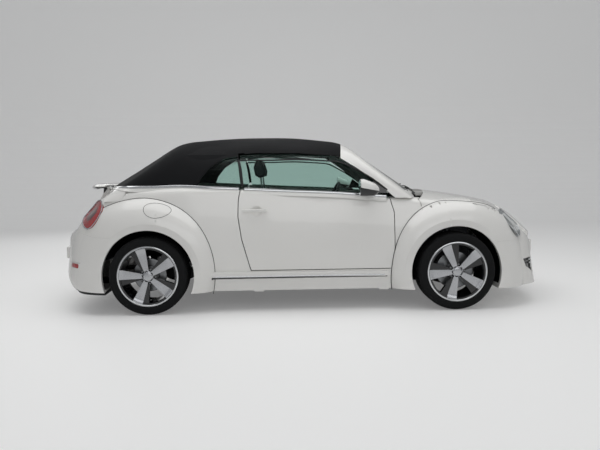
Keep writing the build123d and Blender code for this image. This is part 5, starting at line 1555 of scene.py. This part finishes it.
# %% Cowl trim and wipers
COWL_LEVEL = 0.004
BLADE, ARM_BAR = round_section(0.008, 0.008, 10), round_section(0.010, 0.006, 10)
WIPERS = {"driver": (0.52, -0.02), "passenger": (0.02, -0.50)}         # y from and to
WIPER_RISE, BLADE_START, ARM_START = 0.030, 0.030, 0.004
y = np.linspace(-0.560, 0.560, 61)
cowl = np.column_stack([1.02 - 0.14 * (y / 0.56) ** 2, y, np.full(61, 0.985)])
cowl = between(cowl, 14, COWL_LEVEL, 0.002)
print("cowl foot:", np.round(cowl[[0, 30, 60]], 3))
_, out = on_hood(cowl, COWL_LEVEL)
trim("cowl trim", cowl, round_section(0.030, 0.007, 14) - [0, 0.003], out + [0.6, 0, 0.6], black_trim)


def up_screen(foot, distance):
    """Points of the cowl moved that far up the windscreen."""
    return foot + np.column_stack([-0.9 * distance, np.zeros(len(foot)), 0.6 * distance])


for name, (start, end) in WIPERS.items():
    t = np.linspace(0, 1, 34)
    foot = np.stack([np.interp(start + (end - start) * t, cowl[:, 1], cowl[:, i]) for i in range(3)], -1)
    blade, out = on_hood(up_screen(foot, BLADE_START + WIPER_RISE * t), COWL_LEVEL)
    trim("wiper blade %s" % name, blade, BLADE, out, seal_rubber)
    arm, out = on_hood(up_screen(foot, ARM_START + (WIPER_RISE - 0.005) * t)[:26], 0.010)
    trim("wiper arm %s" % name, arm, ARM_BAR, out, gloss_black)
print("wipers done")

# %% [markdown]
# ## Seats
# Each cushion is foam under a stretched cover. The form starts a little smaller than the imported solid, is
# remeshed evenly, and is blown up by a cloth simulation, so that its faces crown and its edges round off.
# No point may move more than 22 mm. Seams come after it: two long grooves set off the bolsters, and sewn
# channels cross the middle. One seat is worked out and mirrored for the other side.

# %% Forms of the cushions
CUSHIONS = {
    # name: outline (x, z), middle y, half width, bolster height and its direction (x, z)
    "seat base": ([(-0.262, 0.352), (0.215, 0.364), (0.244, 0.392), (0.226, 0.446), (0.060, 0.440),
                   (-0.150, 0.425),
                   (-0.268, 0.425)], 0.365, 0.232, 0.018, (0.0, 1.0)),
    "seat back": ([(-0.165, 0.440), (-0.148, 0.520), (-0.210, 0.760), (-0.284, 0.975), (-0.332, 1.025),
                   (-0.386, 1.000),
                   (-0.376, 0.880), (-0.318, 0.600), (-0.284, 0.425)], 0.365, 0.232, 0.020, (0.95, 0.3)),
    "headrest": ([(-0.324, 1.118), (-0.318, 1.165), (-0.350, 1.262), (-0.396, 1.274), (-0.424, 1.200),
                  (-0.410, 1.128),
                  (-0.372, 1.104)], 0.365, 0.112, 0.0, (1.0, 0.0)),
    "bench base": ([(-0.772, 0.250), (-0.470, 0.250), (-0.402, 0.340), (-0.424, 0.426), (-0.600, 0.420),
                    (-0.772, 0.415)],
                   0.0, 0.510, 0.012, (0.0, 1.0)),
    "bench back": ([(-0.775, 0.430), (-0.930, 0.925), (-0.995, 0.945), (-1.030, 0.915), (-0.890, 0.480),
                    (-0.800, 0.440)],
                   0.0, 0.510, 0.014, (0.95, 0.3)),
}


def cushion_form(outline, middle, half, bolster, way):
    """The outline carried across the seat, drawn in toward its ends, with the outer parts raised."""
    outline = np.array(outline)
    centre = outline.mean(0)
    share = np.array([-1.0, -0.93, -0.78, -0.62, -0.50, -0.25, 0.0, 0.25, 0.50, 0.62, 0.78, 0.93, 1.0])
    draw = 1 - 0.16 * np.abs(share) ** 8
    raised = bolster * np.clip((np.abs(share) - 0.5) / 0.28, 0, 1)
    raised = raised * np.clip((1.04 - np.abs(share)) / 0.2, 0, 1)
    facing = np.clip(((outline - centre) @ np.array(way)) / 0.05, 0, 1)
    section = centre + draw[:, None, None] * (outline - centre)[None]
    section = section + raised[:, None, None] * facing[None, :, None] * np.array(way)
    y = np.broadcast_to((middle + half * share)[:, None, None], section[..., :1].shape)
    points = np.concatenate([section[..., :1], y, section[..., 1:]], -1)
    return tube(points)


def evaluated(obj):
    """A copy of the object's mesh with its modifiers in it."""
    graph = bpy.context.evaluated_depsgraph_get()
    return bpy.data.meshes.new_from_object(obj.evaluated_get(graph), depsgraph=graph)


VOXEL, HEADREST_VOXEL = 0.013, 0.008
CLOTH_QUALITY, PRESSURE, CLOTH_STEPS, MOST = 4, 4.0, 20, 0.022
started = time.perf_counter()
blown = {}
for name, row in CUSHIONS.items():
    points, faces = cushion_form(*row)
    mesh = bpy.data.meshes.new("form")
    mesh.from_pydata(points.tolist(), [], faces)
    form = placed_object("form", mesh)
    remesh = form.modifiers.new("voxels", "REMESH")
    remesh.mode, remesh.voxel_size = "VOXEL", HEADREST_VOXEL if name == "headrest" else VOXEL
    even = evaluated(form)
    bpy.data.objects.remove(form)
    blown[name] = placed_object("blown", even)
for name, obj in blown.items():
    cloth = obj.modifiers.new("cloth", "CLOTH")
    cloth.settings.quality = CLOTH_QUALITY
    cloth.settings.use_pressure = True
    cloth.settings.uniform_pressure_force = PRESSURE
    cloth.settings.effector_weights.gravity = 0.0
    cloth.collision_settings.use_collision = False
for step in range(1, CLOTH_STEPS + 1):
    bpy.context.scene.frame_set(step)
for name, obj in blown.items():
    before = coordinates(obj.data)
    after = coordinates(evaluated(obj))
    moved = after - before
    length = np.linalg.norm(moved, axis=1)
    moved *= (np.minimum(length, MOST) / np.maximum(length, 1e-6))[:, None]
    obj.modifiers.clear()
    obj.data.vertices.foreach_set("co", (before + moved).ravel())
    obj.data.update()
    print(name, "points", len(before), "moved up to", round(1000 * float(length.max()), 1), "mm")
bpy.context.scene.frame_set(1)
print("cushions blown, seconds:", round(time.perf_counter() - started, 1))

# %% Seams and channels
SEAM_HALF, SEAM_DEPTH, CHANNEL_DEPTH = 0.006, 0.006, 0.004
BASE_PITCH, BACK_PITCH = 0.062, 0.070


def grooves(name, points, middle, half):
    """Depth at each point of the seams beside the bolsters and the channels across, each falling as
    exp(-(d/w)^2)."""
    off = np.abs(points[:, 1] - middle)
    depth = SEAM_DEPTH * np.exp(-((off - 0.52 * half) / SEAM_HALF) ** 2)
    run, pitch = (points[:, 0], BASE_PITCH) if name.endswith("base") else (points[:, 2], BACK_PITCH)
    near = (run / pitch + 0.5) % 1.0 - 0.5
    channel = CHANNEL_DEPTH * np.exp(-(near * pitch / SEAM_HALF) ** 2)
    return depth + channel * (off < 0.50 * half)


def finished_cushion(name, title, side):
    """The blown form subdivided once, grooved, and mirrored where it is on the right."""
    source = blown[name]
    _, middle, half, _, _ = CUSHIONS[name]
    smooth = source.modifiers.new("smooth", "SUBSURF")
    smooth.levels = smooth.render_levels = 1
    mesh = evaluated(source)
    source.modifiers.clear()
    points = coordinates(mesh)
    normal = np.empty(3 * len(points))
    mesh.vertex_normals.foreach_get("vector", normal)
    if name != "headrest":
        points = points - grooves(name, points, middle, half)[:, None] * normal.reshape(-1, 3)
    faces = [list(p.vertices) for p in mesh.polygons]
    piece = new_piece(title, *sided(side, points), faces, seat_leather, CAR, "black_plastic", angle=180)
    return piece or piece


SEAT_Y = 0.365
POST = [(0.0005, 0.0), (0.006, 0.0), (0.006, 0.16), (0.0005, 0.16)]
posts = joined([turned(POST, (-0.352, SEAT_Y + offset, 1.000), (-0.10, 0.0, 1.0), 14)
                for offset in (-0.055, 0.055)])
RAIL = round_section(0.032, 0.110, 10)
rails = joined([swept(np.column_stack([np.linspace(-0.22, 0.22, 8), np.full(8, SEAT_Y + offset),
                                       np.full(8, 0.200)]),
                      RAIL, (0.0, 0.0, 1.0)) for offset in (-0.200, 0.200)])
for name, side in SIDES.items():
    seat = [finished_cushion(kind, "%s %s" % (kind, name), side)
            for kind in ("seat base", "seat back", "headrest")]
    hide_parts("seat_front_" + name)
    new_piece("headrest posts %s" % name, *sided(side, posts[0]), posts[1], bright_chrome, CAR,
              "black_plastic")
    new_piece("seat rails %s" % name, *sided(side, rails[0]), rails[1], chassis_black, CAR, "black_plastic")
bench = [finished_cushion(kind, kind, 1) for kind in ("bench base", "bench back")]
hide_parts("seat_rear")
for obj in blown.values():
    bpy.data.objects.remove(obj)
print("seats done")

# %% [markdown]
# ## Camera, light and floor
# The camera stands at the car's side, a little behind its middle, and looks slightly down. The floor and
# backdrop are one pale sweep that glows a little, to the camera only, so no extra light has to fall on the
# car.

# %% Camera
YAW, PITCH, ROLL = radians(1.90), radians(5.15), radians(-0.68)
CAMERA_PLACE, FOCAL_LENGTH, SENSOR = (-0.195, -5.70, 1.160), 35.7, 36
ahead = Vector((sin(YAW) * cos(PITCH), cos(YAW) * cos(PITCH), -sin(PITCH)))
right = Vector((cos(YAW), -sin(YAW), 0))
up = right.cross(ahead)
across_axis = right * cos(ROLL) + up * sin(ROLL)
up_axis = up * cos(ROLL) - right * sin(ROLL)
camera_data = bpy.data.cameras.new("camera")
camera_data.lens, camera_data.sensor_width = FOCAL_LENGTH, SENSOR
camera_data.clip_end = 200
camera = placed_object("camera", camera_data)
turn = Matrix((across_axis, up_axis, -ahead)).transposed().to_4x4()
camera.matrix_world = Matrix.Translation(CAMERA_PLACE) @ turn
bpy.context.scene.camera = camera
print("camera at", CAMERA_PLACE, "with", FOCAL_LENGTH, "mm")

# %% Lamps
def soft_lamp(name, where, target_z, size, watts):
    """An area lamp at a place, pointed at a height over the car's middle."""
    data = bpy.data.lights.new(name, "AREA")
    data.shape, data.size, data.size_y, data.energy = "RECTANGLE", size[0], size[1], watts
    lamp = placed_object(name, data)
    lamp.location = where
    lamp.rotation_euler = (Vector(where) - Vector((0, 0, target_z))).to_track_quat("Z", "Y").to_euler()


soft_lamp("overhead", (0.0, -0.8, 5.2), 0.6, (8.0, 4.5), 150)
soft_lamp("front", (1.5, -7.5, 3.4), 0.6, (7.0, 2.6), 60)
soft_lamp("behind", (-2.5, 6.0, 3.6), 0.8, (6.0, 2.5), 60)
world = bpy.data.worlds.new("studio")
world.use_nodes = True
world.node_tree.nodes["Background"].inputs["Color"].default_value = (0.93, 0.94, 0.96, 1)
world.node_tree.nodes["Background"].inputs["Strength"].default_value = 0.38
bpy.context.scene.world = world
bpy.context.scene.view_settings.view_transform = "Standard"
print("lamps:", len(bpy.data.lights))

# %% Floor sweep
REACH, WALL_NEAR, BEND, WALL_TOP, GLOW = 60.0, 7.0, 3.0, 12.0, 0.16


def floor_sweep():
    """Floor and backdrop as one sheet: flat, then a quarter circle, then upright."""
    bend = np.linspace(0, np.pi / 2, 24)[1:]
    line = [(-REACH, 0.0), (WALL_NEAR, 0.0)]
    line += [(WALL_NEAR + BEND * np.sin(a), BEND - BEND * np.cos(a)) for a in bend]
    line = np.array(line + [(WALL_NEAR + BEND, WALL_TOP)])
    n = len(line)
    points = np.concatenate([np.column_stack([np.full(n, x), line]) for x in (-REACH, REACH)])
    return points, [(i, i + n, i + n + 1, i + 1) for i in range(n - 1)]


floor_paint, floor_shader = finish_of("studio floor paint", "#e9e9e8", 0.6, 0.0)
seen = add_node(floor_paint, "ShaderNodeLightPath")
glow = add_node(floor_paint, "ShaderNodeMath", {0: seen.outputs["Is Camera Ray"]}, operation="MULTIPLY")
glow.inputs[1].default_value = GLOW
floor_shader.inputs["Emission Color"].default_value = linear("#ffffff")
floor_paint.node_tree.links.new(glow.outputs["Value"], floor_shader.inputs["Emission Strength"])
points, faces = floor_sweep()
mesh = bpy.data.meshes.new("floor")
mesh.from_pydata(points.tolist(), [], faces)
mesh.materials.append(floor_paint)
placed_object("floor", mesh)
print("points of the floor sweep:", len(points))
